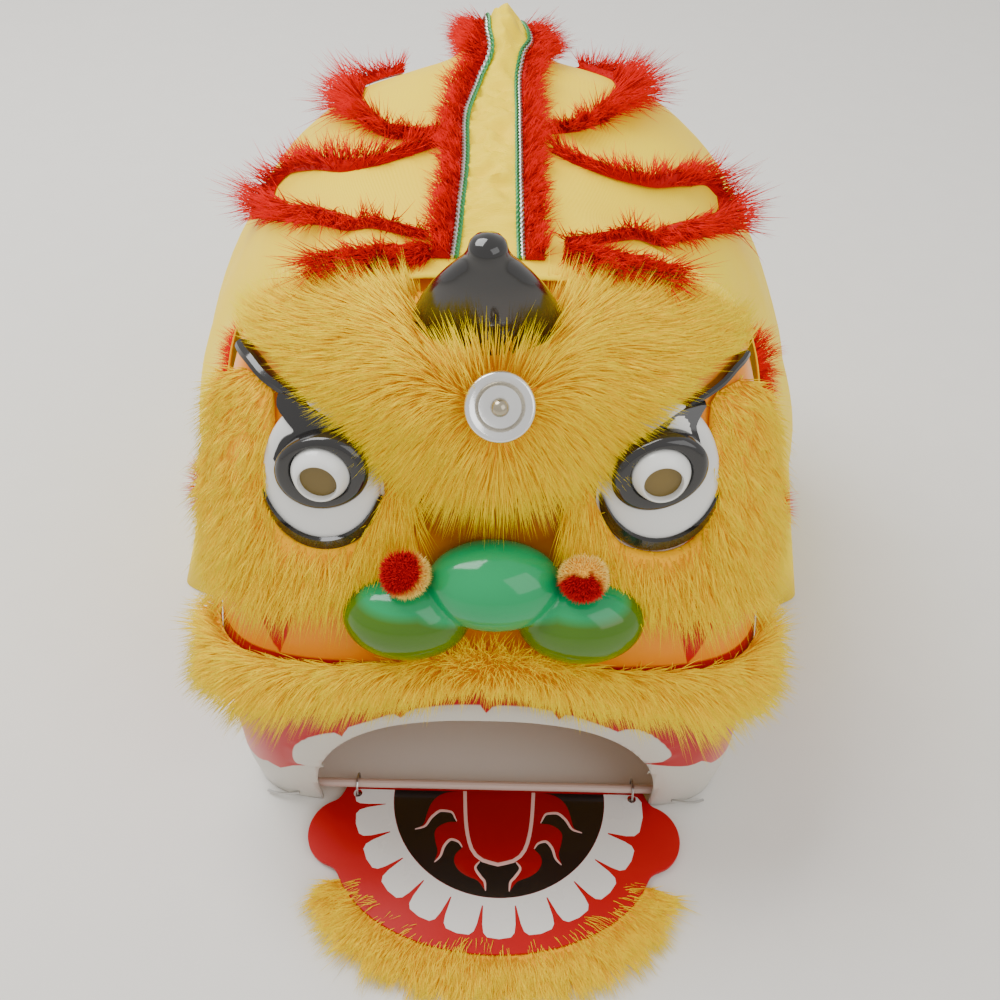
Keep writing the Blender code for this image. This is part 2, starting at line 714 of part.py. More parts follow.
def hood_at(place_share, ridge_share, side):
    """A point of the hood on its left or right side."""
    out, high = hood_section(place_share, ridge_share)
    turn = math.pi / 2 * max(place_share - 1, 0.0)
    y = HOOD_FRONT_Y + (HOOD_PEAK_Y - HOOD_FRONT_Y) * min(place_share, 1.0)
    peak = min(max((between(HOOD_PROFILE, ridge_share, 1) - 0.88) / 0.10, 0.0), 1.0)
    y -= TOP_REACH * peak * max(0.0, 1 - place_share / RIM_SHARE)
    x = side * out * math.cos(turn)
    deep = y + out * math.sin(turn)
    return Vector((x, deep, high + fin(x, deep)))


def hood_top(x, y):
    """The hood's point above a place on the floor."""
    if y <= HOOD_PEAK_Y:
        place_share = (y - HOOD_FRONT_Y) / (HOOD_PEAK_Y - HOOD_FRONT_Y)
        target = abs(x)
    else:
        place_share = 1 + math.atan2(y - HOOD_PEAK_Y, abs(x)) / (math.pi / 2)
        target = math.hypot(x, y - HOOD_PEAK_Y)
    near, far = 0.0, 1.0
    for _ in range(24):
        middle = (near + far) / 2
        if hood_section(max(place_share, 0.0), middle)[0] < target:
            near = middle
        else:
            far = middle
    return Vector((x, y, hood_section(max(place_share, 0.0), near)[1] + fin(x, y)))


def hood_side(y, z, side):
    """The hood's point beside a place: how far back and how high it is."""
    place_share = (y - HOOD_FRONT_Y) / (HOOD_PEAK_Y - HOOD_FRONT_Y)
    near, far = 0.0, 1.0
    for _ in range(24):
        middle = (near + far) / 2
        if hood_section(place_share, middle)[1] > z:
            near = middle
        else:
            far = middle
    return hood_at(place_share, near, side)


def hood_normal(x, y):
    """The hood's outward direction above a place on the floor."""
    return mask_out(hood_top, x, y, 0.002)


PROFILE_SHARES = [0.0, 0.05, 0.11, 0.18, 0.27, 0.40, 0.55, 0.70, 0.83, 0.93, 0.975, 1.0]
PLACE_SHARES = [0, RIM_SHARE, 0.14, 0.19, 0.24, 0.30, 0.37, 0.45, 0.55, 0.66, 0.77, 0.88, 1.0,
                1.13, 1.28, 1.43, 1.58, 1.73, 1.86, 2.0]
hood_mesh = bmesh.new()
hood_rows = []
for share in PLACE_SHARES:
    left = [hood_at(share, ridge, -1) for ridge in reversed(PROFILE_SHARES)]
    right = [hood_at(share, ridge, 1) for ridge in PROFILE_SHARES[1:]]
    hood_rows.append(left + right)
add_grid(hood_mesh, hood_rows)
bmesh.ops.remove_doubles(hood_mesh, verts=hood_mesh.verts, dist=1e-5)
hood = place("hood", hood_mesh, SATIN)
wall = hood.modifiers.new("wall", "SOLIDIFY")
wall.thickness = HOOD_WALL
wall.offset = -1.0

# Braids beside the centre band, and the red fur along it
BAND_START = 0.002
BAND_RUN = 0.267
CREST_CLEAR = 0.0032


def band_edge(share, side, extra=0.0):
    """A place on the floor under the band's edge, moved sideways by an extra width."""
    half = between(BAND_STATIONS, share, 1) * BAND_WIDTH
    drift = between(BAND_STATIONS, share, 2)
    return drift + side * (half + extra), HOOD_FRONT_Y + BAND_START + share * BAND_RUN


def strip(name, centres, widths, height, look, gap, locks=0.0):
    """A strip lying on the hood along places on the floor, with locks at every other station."""
    inner, outer = [], []
    count = len(centres)
    for index, (x, y) in enumerate(centres):
        before, after = centres[max(index - 1, 0)], centres[min(index + 1, count - 1)]
        run = Vector((after[0] - before[0], after[1] - before[1], 0)).normalized()
        across = Vector((run.y, -run.x, 0))
        wide = widths[index] * (1 + (locks if index % 2 else -locks))
        row_in, row_out = [], []
        for side, lift in ((-1.0, 0.40), (0.0, 1.0), (1.0, 0.40)):
            spot = Vector((x, y, 0)) + across * (side * wide / 2)
            seat = hood_top(spot.x, spot.y)
            out = hood_normal(spot.x, spot.y)
            row_in.append(seat + out * gap)
            row_out.append(seat + out * (gap + height * lift * (1 + (locks if index % 2 else -locks) / 2)))
        inner.append(row_in)
        outer.append(row_out)
    return place(name, slab(inner, outer), look)


for name, side in (("left", -1), ("right", 1)):
    steps = [index / 22 for index in range(23)]
    strip("braid_" + name, [band_edge(s, side, BRAID_WIDTH / 2) for s in steps],
          [BRAID_WIDTH] * len(steps), BRAID_HEIGHT, BRAID, BRAID_GAP)
    steps = [index / 20 for index in range(21)]
    beside = BRAID_WIDTH + 0.62 * CREST_WIDTH + CREST_CLEAR
    strip("crest_fur_" + name, [band_edge(s, side, beside) for s in steps],
          [CREST_WIDTH] * len(steps), TRIM_DEPTH, RED_FUR, CREST_GAP, locks=0.20)


# The red fur leaves on both sides of the crest
# Columns: share of the hood's half width, share of the run from its front edge to its peak
LEAVES = {
    "left_back": ((-0.225, 0.62), (-0.27, 0.64), (-0.31, 0.69), (-0.37, 0.82), (-0.42, 0.99),
                  (-0.42, 1.12), (-0.36, 1.19), (-0.27, 1.24)),
    "left_middle": ((-0.225, 0.52), (-0.29, 0.52), (-0.39, 0.55), (-0.50, 0.66), (-0.60, 0.77), (-0.665, 0.77),
                    (-0.665, 0.68), (-0.60, 0.56), (-0.50, 0.44), (-0.39, 0.33), (-0.27, 0.21),
                    (-0.235, 0.185)),
    "left_front": ((-0.235, 0.050), (-0.29, 0.050), (-0.36, 0.060), (-0.44, 0.085)),
    "right_back": ((0.225, 0.70), (0.265, 0.76), (0.31, 0.88), (0.35, 1.02), (0.34, 1.12),
                   (0.28, 1.18), (0.21, 1.21)),
    "right_middle": ((0.225, 0.49), (0.28, 0.47), (0.38, 0.50), (0.49, 0.61), (0.58, 0.73), (0.645, 0.73),
                     (0.645, 0.64), (0.58, 0.52), (0.48, 0.39), (0.40, 0.30), (0.30, 0.21), (0.235, 0.18)),
    "right_front": ((0.235, 0.050), (0.28, 0.050), (0.36, 0.065), (0.43, 0.090)),
}


def smooth_path(points, count):
    """Evenly shared points along a curve through a few."""
    table = [(index / (len(points) - 1), point[0], point[1]) for index, point in enumerate(points)]
    fine = [(between(table, step / 200, 1), between(table, step / 200, 2)) for step in range(201)]
    lengths = [0.0]
    for near, far in zip(fine, fine[1:]):
        lengths.append(lengths[-1] + math.dist(near, far))
    path = []
    for index in range(count):
        wanted = lengths[-1] * index / (count - 1)
        step = min(range(201), key=lambda k: abs(lengths[k] - wanted))
        path.append(fine[step])
    return path


for name, shares in LEAVES.items():
    run = HOOD_PEAK_Y - HOOD_FRONT_Y
    points = [(x * HOOD_WIDTH / 2, HOOD_FRONT_Y + y * run) for x, y in shares]
    count = 2 * len(points) + 1
    widths = []
    for index in range(count):
        share = index / (count - 1)
        widths.append(LEAF_WIDTH * (1 - 0.45 * abs(2 * share - 1) ** 3))
    strip("leaf_fur_" + name, smooth_path(points, count), widths, TRIM_DEPTH, RED_FUR, LEAF_GAP, locks=0.16)

# Red tufts on the hood's sides
# Columns: side, distance back from the hood's edge, height, radius, how far it stands out
TUFTS = {
    "side_tuft_left_upper": (-1, 0.042, 0.237, 0.016, 0.010),
    "side_tuft_left_lower": (-1, 0.044, 0.120, 0.018, 0.012),
    "side_patch_right": (1, 0.044, 0.235, 0.022, 0.012),
    "side_pompom_right": (1, 0.040, 0.118, 0.018, 0.016),
}
for name, (side, back, high, radius, stand) in TUFTS.items():
    inner, outer = [], []
    for ring in (0.0, 0.55, 1.0):
        row_in, row_out = [], []
        for index in range(12):
            turn = 2 * math.pi * index / 12
            reach = radius * ring * (1.12 if index % 2 and ring == 1.0 else 1.0)
            y = HOOD_FRONT_Y + back + reach * math.cos(turn)
            z = high + reach * math.sin(turn)
            seat = hood_side(y, z, side)
            out = (hood_side(y + 0.002, z, side) - hood_side(y - 0.002, z, side)).cross(
                hood_side(y, z + 0.002, side) - hood_side(y, z - 0.002, side)).normalized() * side
            row_in.append(seat + out * TUFT_GAP)
            row_out.append(seat + out * (TUFT_GAP + 0.002 + stand * (1 - ring ** 2) ** 0.5))
        inner.append(row_in)
        outer.append(row_out)
    tuft = bmesh.new()
    low = add_grid(tuft, inner, around=True)
    top = add_grid(tuft, outer, flip=True, around=True)
    for index in range(12):
        after = (index + 1) % 12
        tuft.faces.new((low[-1][after], low[-1][index], top[-1][index], top[-1][after]))
    place(name, tuft, RED_FUR)

# The bar across the foot of the mouth, behind the mask's corners
ROD_HALF = MOUTH_WIDTH / 2 + 0.013
rod_line = [Vector((x, ROD_Y, ROD_Z)) for x in (-ROD_HALF, ROD_HALF)]
place("mouth_rod", tube(rod_line, ROD_RADIUS, 12), PALE_ROD)

# The jaw: a board with two ears, hung from the bar by two rings
JAW_BACK_Y = ROD_Y + 0.001
EAR_RADIUS = 0.020
EAR_BACK = 0.0315
ROUND_Y = 0.045
ROUND_HALF = 0.843 * JAW_WIDTH / 2
HOLE_X = 0.3787 * JAW_WIDTH
HOLE_Y = ROD_Y - 0.0042
HOLE_RADIUS = 0.0028


def jaw_outline():
    """The board's edge, from the back right over the ears and the round front to the back left."""
    ear_x, ear_y = JAW_WIDTH / 2 - EAR_RADIUS, ROD_Y - EAR_BACK
    right = [(ear_x - 0.0015, JAW_BACK_Y)]
    for step in range(9):
        turn = math.radians(90 - 21 * step)
        right.append((ear_x + EAR_RADIUS * math.cos(turn), ear_y + 1.125 * EAR_RADIUS * math.sin(turn)))
    for step in range(1, 11):
        turn = math.radians(8 + 82 * step / 10)
        right.append((ROUND_HALF * math.cos(turn), -ROUND_Y - (JAW_REACH - ROUND_Y) * math.sin(turn)))
    left = [(-x, y) for x, y in reversed(right[:-1])]
    return [(x + JAW_SHIFT, y) for x, y in right + left]


board = bmesh.new()
board_low = [Vector((x, y, JAW_FLOOR_GAP)) for x, y in jaw_outline()]
board_rows = [board_low, [point + Vector((0, 0, JAW_THICKNESS)) for point in board_low]]
board_rings = add_grid(board, board_rows, around=True)
board.faces.new(board_rings[0])
board.faces.new(board_rings[-1][::-1])
jaw_plate = place("jaw_plate", board, RED_BOARD, jaw_axis)

ring_centre = Vector((0, ROD_Y + 0.0008, ROD_Z - 0.0030))
for side, x in (("left", -HOLE_X + JAW_SHIFT), ("right", HOLE_X + JAW_SHIFT)):
    drill = [Vector((x, HOLE_Y, z)) for z in (-0.01, 0.02)]
    hole = cutter("hole_" + side, tube(drill, HOLE_RADIUS, 12))
    cut(jaw_plate, hole)
    loop = []
    for index in range(16):
        turn = 2 * math.pi * index / 16
        loop.append(ring_centre + Vector((x, RING_RADIUS * math.cos(turn), RING_RADIUS * math.sin(turn))))
    place("jaw_ring_" + side, tube(loop, RING_WIRE, 5, closed=True), WIRE, jaw_axis)

# The beard: locks that fan out from under the board's front edge
BEARD_TOP = JAW_FLOOR_GAP - 0.0003
BEARD_FROM = 19.0


def beard_place(share, reach):
    """A place on the floor: 0 to 1 runs from the right ear round to the left, reach 1 is the board's edge."""
    turn = math.radians(-BEARD_FROM - (180 - 2 * BEARD_FROM) * share)
    far = max(reach - 1.0, 0.0)
    near = min(reach, 1.0)
    return (JAW_SHIFT + math.cos(turn) * (ROUND_HALF * near + far * BEARD_REACH * 0.75),
            -ROUND_Y + math.sin(turn) * ((JAW_REACH - ROUND_Y) * near + far * BEARD_REACH))


beard_low, beard_high = [], []
BEARD_LOCKS = 26
for index in range(BEARD_LOCKS + 1):
    share = index / BEARD_LOCKS
    tip = 2.0 if index % 2 == 0 else 1.62
    middle = 1 + (tip - 1) * 0.5
    lift = 1.0 if index % 2 == 0 else 0.6
    heights = ((0.72, BEARD_TOP), (1.02, BEARD_TOP), (1.05, 0.009 * lift), (middle, 0.012 * lift),
               (tip, 0.0015))
    beard_low.append([Vector((*beard_place(share, reach), 0.0)) for reach, _ in heights])
    beard_high.append([Vector((*beard_place(share, reach), high)) for reach, high in heights])
place("jaw_beard", slab(beard_low, beard_high), YELLOW_FUR, jaw_axis)

# The bar's twisted wire ends, which stick out beside the mouth's corners
TIE_RADIUS = 0.0010
TIE_OUT = 0.0006
for name, side in (("left", -1), ("right", 1)):
    wire = []
    for index in range(8):
        share = index / 7
        x = side * (JAW_WIDTH / 2 + 0.003 + 0.022 * share)
        z = 0.009 - 0.0075 * share
        wire.append(mask_front(x, z) + Vector((0, -TIE_OUT - 0.006 * share, 0)))
    place("rod_tie_" + name, tube(wire, TIE_RADIUS, 6), WIRE)
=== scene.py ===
import math
import bpy
import bmesh
from mathutils import Matrix, Vector, noise
from mathutils.geometry import tessellate_polygon


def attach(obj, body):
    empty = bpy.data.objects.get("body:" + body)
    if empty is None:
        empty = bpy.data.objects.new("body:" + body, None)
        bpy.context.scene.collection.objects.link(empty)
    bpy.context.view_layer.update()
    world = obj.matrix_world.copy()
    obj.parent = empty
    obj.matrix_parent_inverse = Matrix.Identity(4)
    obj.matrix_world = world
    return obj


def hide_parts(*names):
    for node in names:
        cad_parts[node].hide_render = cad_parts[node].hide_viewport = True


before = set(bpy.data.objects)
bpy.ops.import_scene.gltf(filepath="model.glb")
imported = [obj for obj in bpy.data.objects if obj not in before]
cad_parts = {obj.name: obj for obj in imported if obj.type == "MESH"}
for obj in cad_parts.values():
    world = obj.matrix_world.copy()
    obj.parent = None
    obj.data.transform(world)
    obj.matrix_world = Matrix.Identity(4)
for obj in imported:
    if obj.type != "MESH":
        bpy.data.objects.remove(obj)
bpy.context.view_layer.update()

# The camera, at the photograph's place and angle. Lengths in this script are measured from the
# plane of the lip, as in the part's source, and LIP moves them into the part's frame.
LIP = Vector((0.0, -0.14416, 0.0))
camera_data = bpy.data.cameras.new("photo_camera")
camera_data.sensor_width = 36.0
camera_data.lens = 39.6
camera = bpy.data.objects.new("photo_camera", camera_data)
camera_turn = Matrix.Rotation(math.pi / 2 - math.radians(45.3), 4, "X")
camera_roll = Matrix.Rotation(math.radians(1.3), 4, "Z")
camera.matrix_world = Matrix.Translation(Vector((0.005, -0.374, 0.65)) + LIP) @ camera_turn @ camera_roll
bpy.context.scene.collection.objects.link(camera)
bpy.context.scene.camera = camera


def add_node(tree, kind, inputs=(), **settings):
    """Adds a node, with its settings, and values or links on its inputs."""
    made = tree.nodes.new(kind)
    for name, value in settings.items():
        setattr(made, name, value)
    for name, value in dict(inputs).items():
        if isinstance(value, bpy.types.NodeSocket):
            tree.links.new(value, made.inputs[name])
        else:
            made.inputs[name].default_value = value
    return made


def math_node(tree, operation, *values):
    """The result of a calculation on numbers or sockets."""
    return add_node(tree, "ShaderNodeMath", enumerate(values), operation=operation).outputs[0]


def vector_node(tree, operation, *values):
    """The result of a calculation on vectors."""
    made = add_node(tree, "ShaderNodeVectorMath", operation=operation)
    for name, value in enumerate(values):
        slot = made.inputs["Scale"] if operation == "SCALE" and name == 1 else made.inputs[name]
        if isinstance(value, bpy.types.NodeSocket):
            tree.links.new(value, slot)
        else:
            slot.default_value = value
    return made.outputs[0]


def blend_colors(tree, share, low, high):
    """The mix of two colours by a share."""
    mixer = add_node(tree, "ShaderNodeMix", data_type="RGBA")
    for name, value in ((0, share), (6, low), (7, high)):
        if isinstance(value, bpy.types.NodeSocket):
            tree.links.new(value, mixer.inputs[name])
        elif name:
            mixer.inputs[name].default_value = (*value, 1.0)
        else:
            mixer.inputs[name].default_value = value
    return mixer.outputs[2]


def new_group(name, inputs, outputs):
    """An empty shader node group with named inputs and outputs."""
    group = bpy.data.node_groups.new(name, "ShaderNodeTree")
    for label, value in inputs:
        kind = "NodeSocketColor" if isinstance(value, tuple) else "NodeSocketFloat"
        socket = group.interface.new_socket(label, in_out="INPUT", socket_type=kind)
        socket.default_value = (*value, 1.0) if isinstance(value, tuple) else value
    for label, kind in outputs:
        group.interface.new_socket(label, in_out="OUTPUT", socket_type=kind)
    return group, group.nodes.new("NodeGroupInput"), group.nodes.new("NodeGroupOutput")


# A moulded or printed surface is never quite even: its colour, gloss and flatness wander a little.
surface_life, life_in, life_out = new_group(
    "surface_life",
    (("Color", (0.8, 0.8, 0.8)), ("Patch Scale", 30.0), ("Patch", 0.15), ("Roughness", 0.3),
     ("Roughness Spread", 0.1), ("Grain Scale", 900.0), ("Grain", 0.1)),
    (("Color", "NodeSocketColor"), ("Roughness", "NodeSocketFloat"), ("Normal", "NodeSocketVector")))
life_place = add_node(surface_life, "ShaderNodeTexCoord").outputs["Object"]
life_patch = add_node(surface_life, "ShaderNodeTexNoise", {
    "Vector": life_place, "Scale": life_in.outputs["Patch Scale"], "Detail": 4.0}).outputs["Fac"]
life_shift = math_node(surface_life, "MULTIPLY_ADD", math_node(surface_life, "SUBTRACT", life_patch, 0.5),
                       life_in.outputs["Patch"], 1.0)
life_color = vector_node(surface_life, "SCALE", life_in.outputs["Color"], life_shift)
life_fine = add_node(surface_life, "ShaderNodeTexNoise", {
    "Vector": life_place, "Scale": life_in.outputs["Grain Scale"], "Detail": 2.0}).outputs["Fac"]
life_rough = math_node(surface_life, "MULTIPLY_ADD", math_node(surface_life, "SUBTRACT", life_patch, 0.5),
                       life_in.outputs["Roughness Spread"], life_in.outputs["Roughness"])
life_bump = add_node(surface_life, "ShaderNodeBump", {
    "Strength": life_in.outputs["Grain"], "Distance": 0.0004, "Height": life_fine}).outputs["Normal"]
surface_life.links.new(life_color, life_out.inputs["Color"])
surface_life.links.new(life_rough, life_out.inputs["Roughness"])
surface_life.links.new(life_bump, life_out.inputs["Normal"])


def new_material(name):
    """A material with its node tree and its Principled shader."""
    made = bpy.data.materials.new(name)
    made.use_nodes = True
    return made, made.node_tree, made.node_tree.nodes["Principled BSDF"]


def solid_material(name, color, roughness, patch=0.15, grain=0.1, spread=0.1, metallic=0.0, coat=0.0,
                   gloss=0.5):
    """A material of one finish: color is a colour or a function that makes a colour socket in the tree."""
    made, tree, shader = new_material(name)
    life = add_node(tree, "ShaderNodeGroup", node_tree=surface_life)
    for label, value in (("Patch", patch), ("Roughness", roughness), ("Roughness Spread", spread),
                         ("Grain", grain)):
        life.inputs[label].default_value = value
    if callable(color):
        tree.links.new(color(tree), life.inputs["Color"])
    else:
        life.inputs["Color"].default_value = (*color, 1.0)
    for label, target in (("Color", "Base Color"), ("Roughness", "Roughness"), ("Normal", "Normal")):
        tree.links.new(life.outputs[label], shader.inputs[target])
    shader.inputs["Metallic"].default_value = metallic
    shader.inputs["Coat Weight"].default_value = coat
    shader.inputs["Specular IOR Level"].default_value = gloss
    return made


def add_piece(name, points, faces, material, body="head", sharp=40.0, attributes=()):
    """A piece from points in lip lengths and faces, riding on a body."""
    mesh = bpy.data.meshes.new(name)
    mesh.from_pydata([Vector(point) + LIP for point in points], [], faces)
    for label, kind, values in attributes:
        layer = mesh.attributes.new(label, kind, "POINT")
        field = "vector" if kind == "FLOAT_VECTOR" else "value"
        layer.data.foreach_set(field, [x for value in values for x in value] if field == "vector" else values)
    made = bmesh.new()
    made.from_mesh(mesh)
    bmesh.ops.remove_doubles(made, verts=made.verts, dist=1e-6)
    bmesh.ops.recalc_face_normals(made, faces=made.faces)
    made.to_mesh(mesh)
    made.free()
    mesh.shade_smooth()
    mesh.set_sharp_from_angle(angle=math.radians(sharp))
    mesh.materials.append(material)
    piece = bpy.data.objects.new(name, mesh)
    bpy.context.scene.collection.objects.link(piece)
    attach(piece, body)
    return piece


def grid_faces(rows, columns, around=False, start=0, flip=False):
    """Quads between rows of points that were listed row by row."""
    faces = []
    for row in range(rows - 1):
        for column in range(columns if around else columns - 1):
            after = (column + 1) % columns
            near, far = start + row * columns, start + (row + 1) * columns
            quad = (near + column, near + after, far + after, far + column)
            faces.append(quad[::-1] if flip else quad)
    return faces


def slab_faces(rows, columns, around=False):
    """Faces of a closed pad: an inner and an outer grid of the same size and the rim between them."""
    count = rows * columns
    faces = grid_faces(rows, columns, around) + grid_faces(rows, columns, around, count, True)
    for column in range(columns if around else columns - 1):
        after = (column + 1) % columns
        for row, turned_round in ((0, False), (rows - 1, True)):
            if around and row == 0:
                continue
            a, b = row * columns + column, row * columns + after
            quad = (b, a, count + a, count + b)
            faces.append(quad[::-1] if turned_round else quad)
    if not around:
        for row in range(rows - 1):
            for column, turned_round in ((0, False), (columns - 1, True)):
                a, b = row * columns + column, (row + 1) * columns + column
                quad = (a, b, count + b, count + a)
                faces.append(quad[::-1] if turned_round else quad)
    return faces


def between(rows, place, column):
    """The value of one column at a place in a table, on a smooth curve through its rows."""
    if place <= rows[0][0]:
        return rows[0][column]
    if place >= rows[-1][0]:
        return rows[-1][column]
    index = 0
    while rows[index + 1][0] < place:
        index += 1
    span = rows[index + 1][0] - rows[index][0]
    share = (place - rows[index][0]) / span
    rise = rows[index + 1][column] - rows[index][column]
    slopes = []
    for near in (index, index + 1):
        low = max(near - 1, 0)
        high = min(near + 1, len(rows) - 1)
        before = (rows[near][column] - rows[low][column]) / max(rows[near][0] - rows[low][0], 1e-9)
        after = (rows[high][column] - rows[near][column]) / max(rows[high][0] - rows[near][0], 1e-9)
        if near == low:
            before = after
        if near == high:
            after = before
        slopes.append(0.0 if before * after <= 0 else 2 * before * after / (before + after))
    start, end = slopes[0] * span, slopes[1] * span
    cubic = (2 * share ** 3 - 3 * share ** 2 + 1) * rows[index][column]
    cubic += (share ** 3 - 2 * share ** 2 + share) * start
    cubic += (3 * share ** 2 - 2 * share ** 3) * (rows[index][column] + rise)
    return cubic + (share ** 3 - share ** 2) * end


# The moulded mask: one thin plastic shell, glossy orange at the cheeks, with red gums and white
# teeth painted on low relief round the mouth. It carries the fur, the eyes, the nose and the horn.
MASK_WIDTH = 0.318
MASK_HEIGHT = 0.335
MASK_DEPTH = 0.145
MASK_RIM_Y = 0.118
MASK_WALL = 0.0025
MOUTH_WIDTH = 0.212
MOUTH_HEIGHT = 0.1235
MOUTH_SQUARE = 2.8
# Columns: height, half width and depth as shares of the mask's sizes, squareness of the section
MASK_SECTIONS = (
    (0.00, 0.985, 0.883, 7.0),
    (0.15, 1.000, 0.966, 6.5),
    (0.36, 1.000, 1.000, 6.0),
    (0.45, 0.995, 0.883, 5.5),
    (0.60, 0.980, 0.745, 4.5),
    (0.75, 0.925, 0.641, 4.0),
    (0.87, 0.850, 0.524, 3.6),
    (0.92, 0.760, 0.434, 3.2),
    (0.96, 0.620, 0.297, 2.8),
    (0.985, 0.420, 0.159, 2.4),
    (1.00, 0.150, 0.069, 2.0),
)


def mask_at(turn, height, out=0.0):
    """A point of the mask at an angle from the nose line and a height share, moved out by a gap."""
    half = between(MASK_SECTIONS, height, 1) * MASK_WIDTH / 2 + out
    depth = between(MASK_SECTIONS, height, 2) * MASK_DEPTH + out
    square = between(MASK_SECTIONS, height, 3)
    side, front = math.sin(turn), math.cos(turn)
    reach = (abs(side) ** square + abs(front) ** square) ** (-1 / square)
    lift = out * max(0.0, (height - 0.8) / 0.2)
    return Vector((half * reach * side, MASK_RIM_Y - depth * reach * front, height * MASK_HEIGHT + lift))


def mask_front(x, z, out=0.0):
    """The mask's point in front at a distance from the nose line and a height."""
    height = z / MASK_HEIGHT
    half = between(MASK_SECTIONS, height, 1) * MASK_WIDTH / 2 + out
    depth = between(MASK_SECTIONS, height, 2) * MASK_DEPTH + out
    square = between(MASK_SECTIONS, height, 3)
    share = min(abs(x) / half, 0.999)
    return Vector((x, MASK_RIM_Y - depth * (1 - share ** square) ** (1 / square), z))


def surface_out(point_of, first, second, step=0.01):
    """The outward direction of a surface given by two numbers."""
    run = point_of(first + step, second) - point_of(first - step, second)
    rise = point_of(first, second + step) - point_of(first, second - step)
    return run.cross(rise).normalized()


def arch_share(x, z):
    """How far out a place is from the middle of the mouth: 1 on the arch."""
    wide, tall = abs(x) / (MOUTH_WIDTH / 2), abs(z) / MOUTH_HEIGHT
    return (wide ** MOUTH_SQUARE + tall ** MOUTH_SQUARE) ** (1 / MOUTH_SQUARE)


def arch_distance(x, z):
    """The distance out from the arch's edge, in metres."""
    share, step = arch_share(x, z), 1e-4
    slope = Vector((arch_share(x + step, z) - share, arch_share(x, z + step) - share)).length / step
    return (share - 1) / slope


def inside_distance(x, z, corners):
    """The distance from an outline's edge, in metres: above zero inside it."""
    inside, nearest = False, 1.0
    for (ax, az), (bx, bz) in zip(corners, corners[1:] + corners[:1]):
        if (az > z) != (bz > z) and x < (bx - ax) * (z - az) / (bz - az) + ax:
            inside = not inside
        run_x, run_z = bx - ax, bz - az
        share = ((x - ax) * run_x + (z - az) * run_z) / (run_x ** 2 + run_z ** 2)
        share = min(max(share, 0.0), 1.0)
        nearest = min(nearest, math.hypot(x - ax - share * run_x, z - az - share * run_z))
    return nearest if inside else -nearest


def smooth_loop(corners, steps=5):
    """A closed outline rounded through its corners."""
    loop = []
    count = len(corners)
    for index in range(count):
        a, b, c, d = (Vector(corners[(index + shift) % count]) for shift in (-1, 0, 1, 2))
        for step in range(steps):
            t = step / steps
            loop.append(tuple(0.5 * (2 * b + (c - a) * t + (2 * a - 5 * b + 4 * c - d) * t * t
                                     + (3 * b - a - 3 * c + d) * t ** 3)))
    return loop


TOOTH_TALL = 0.0086
TOOTH_NOTCHES = (-0.0829, -0.0470, 0.0005, 0.0412, 0.0752)
TOOTH_RELIEF = 0.0012
TEETH_LEFT = -0.0965
TEETH_RIGHT = 0.0835
GUM_TOP = 0.152
FANGS = (
    smooth_loop([(-0.1140, 0.0640), (-0.1144, 0.0800), (-0.1080, 0.0930), (-0.0960, 0.1030),
                 (-0.0850, 0.1050), (-0.0850, 0.0850), (-0.0980, 0.0640)]),
    smooth_loop([(0.0734, 0.1133), (0.0844, 0.1174), (0.0968, 0.1085), (0.1087, 0.0886), (0.1058, 0.0793),
                 (0.0958, 0.0778), (0.0850, 0.0850), (0.0700, 0.1050)]),
)
FLAMES = (
    [(-0.1340, 0.1850), (-0.1255, 0.1680), (-0.1164, 0.1505), (-0.1085, 0.1690),
     (-0.1010, 0.1900), (-0.1180, 0.1960)],
    [(0.0985, 0.1900), (0.1060, 0.1680), (0.1120, 0.1500), (0.1210, 0.1640),
     (0.1320, 0.1820), (0.1160, 0.1960)],
)
# Columns: distance from the nose line, height of the white corners' wavy upper edge
CORNER_LINE = (
    (-0.160, 0.046), (-0.140, 0.0490), (-0.134, 0.0530), (-0.127, 0.0500), (-0.119, 0.0570), (-0.112, 0.0600),
    (-0.100, 0.0640), (0.092, 0.0760), (0.100, 0.0740), (0.112, 0.0700), (0.124, 0.0670), (0.130, 0.0690),
    (0.139, 0.0590), (0.160, 0.055),
)

mask_turns = 150
mask_heights = [0.42 * index / 66 for index in range(66)] + [0.42 + 0.58 * index / 64 for index in range(65)]
mask_points, mask_paint = [], {"white": [], "red_flame": [], "gum": [], "fade": [], "bridge_shade": []}
for height in mask_heights:
    for index in range(mask_turns + 1):
        turn = math.pi * (index / mask_turns - 0.5)
        point = mask_at(turn, height)
        if point.z < MOUTH_HEIGHT + 0.001 and abs(point.x) < MOUTH_WIDTH / 2 + 0.001 and abs(turn) < 1.2:
            share = arch_share(point.x, point.z)
            if 0.955 < share < 1.0:
                point = mask_front(point.x / share, point.z / share)
        x, z = point.x, point.z
        teeth = TOOTH_TALL - 0.0045 * sum(math.exp(-((x - notch) / 0.0022) ** 2) for notch in TOOTH_NOTCHES)
        white = -0.05
        if abs(turn) < 1.35 and z < 0.16:
            if TEETH_LEFT < x < TEETH_RIGHT and z > 0.05:
                white = min(teeth - arch_distance(x, z), x - TEETH_LEFT, TEETH_RIGHT - x)
            white = max(white, *(inside_distance(x, z, fang) for fang in FANGS))
        relief = TOOTH_RELIEF * min(max(white / 0.0015 + 0.5, 0.0), 1.0)
        white = max(white, between(CORNER_LINE, x, 1) - z)
        flame = -0.05
        if 0.14 < z < 0.2 and abs(turn) < 1.4:
            flame = max(inside_distance(x, z, corners) for corners in FLAMES)
        # One of these marks is painted shade: a darker brown-orange between the eyes above the nose, under
        # the brow fur.
        for label, value in (("white", white), ("red_flame", flame), ("gum", GUM_TOP - z),
                             ("fade", abs(x) - 0.112 - 0.35 * z),
                             ("bridge_shade", 0.058 - math.hypot(x - 0.004, (z - 0.255) * 1.3))):
            mask_paint[label].append(max(value, -0.02) * 1000)
        mask_points.append(point + surface_out(mask_at, turn, min(height, 0.97)) * relief)
mask_faces = []
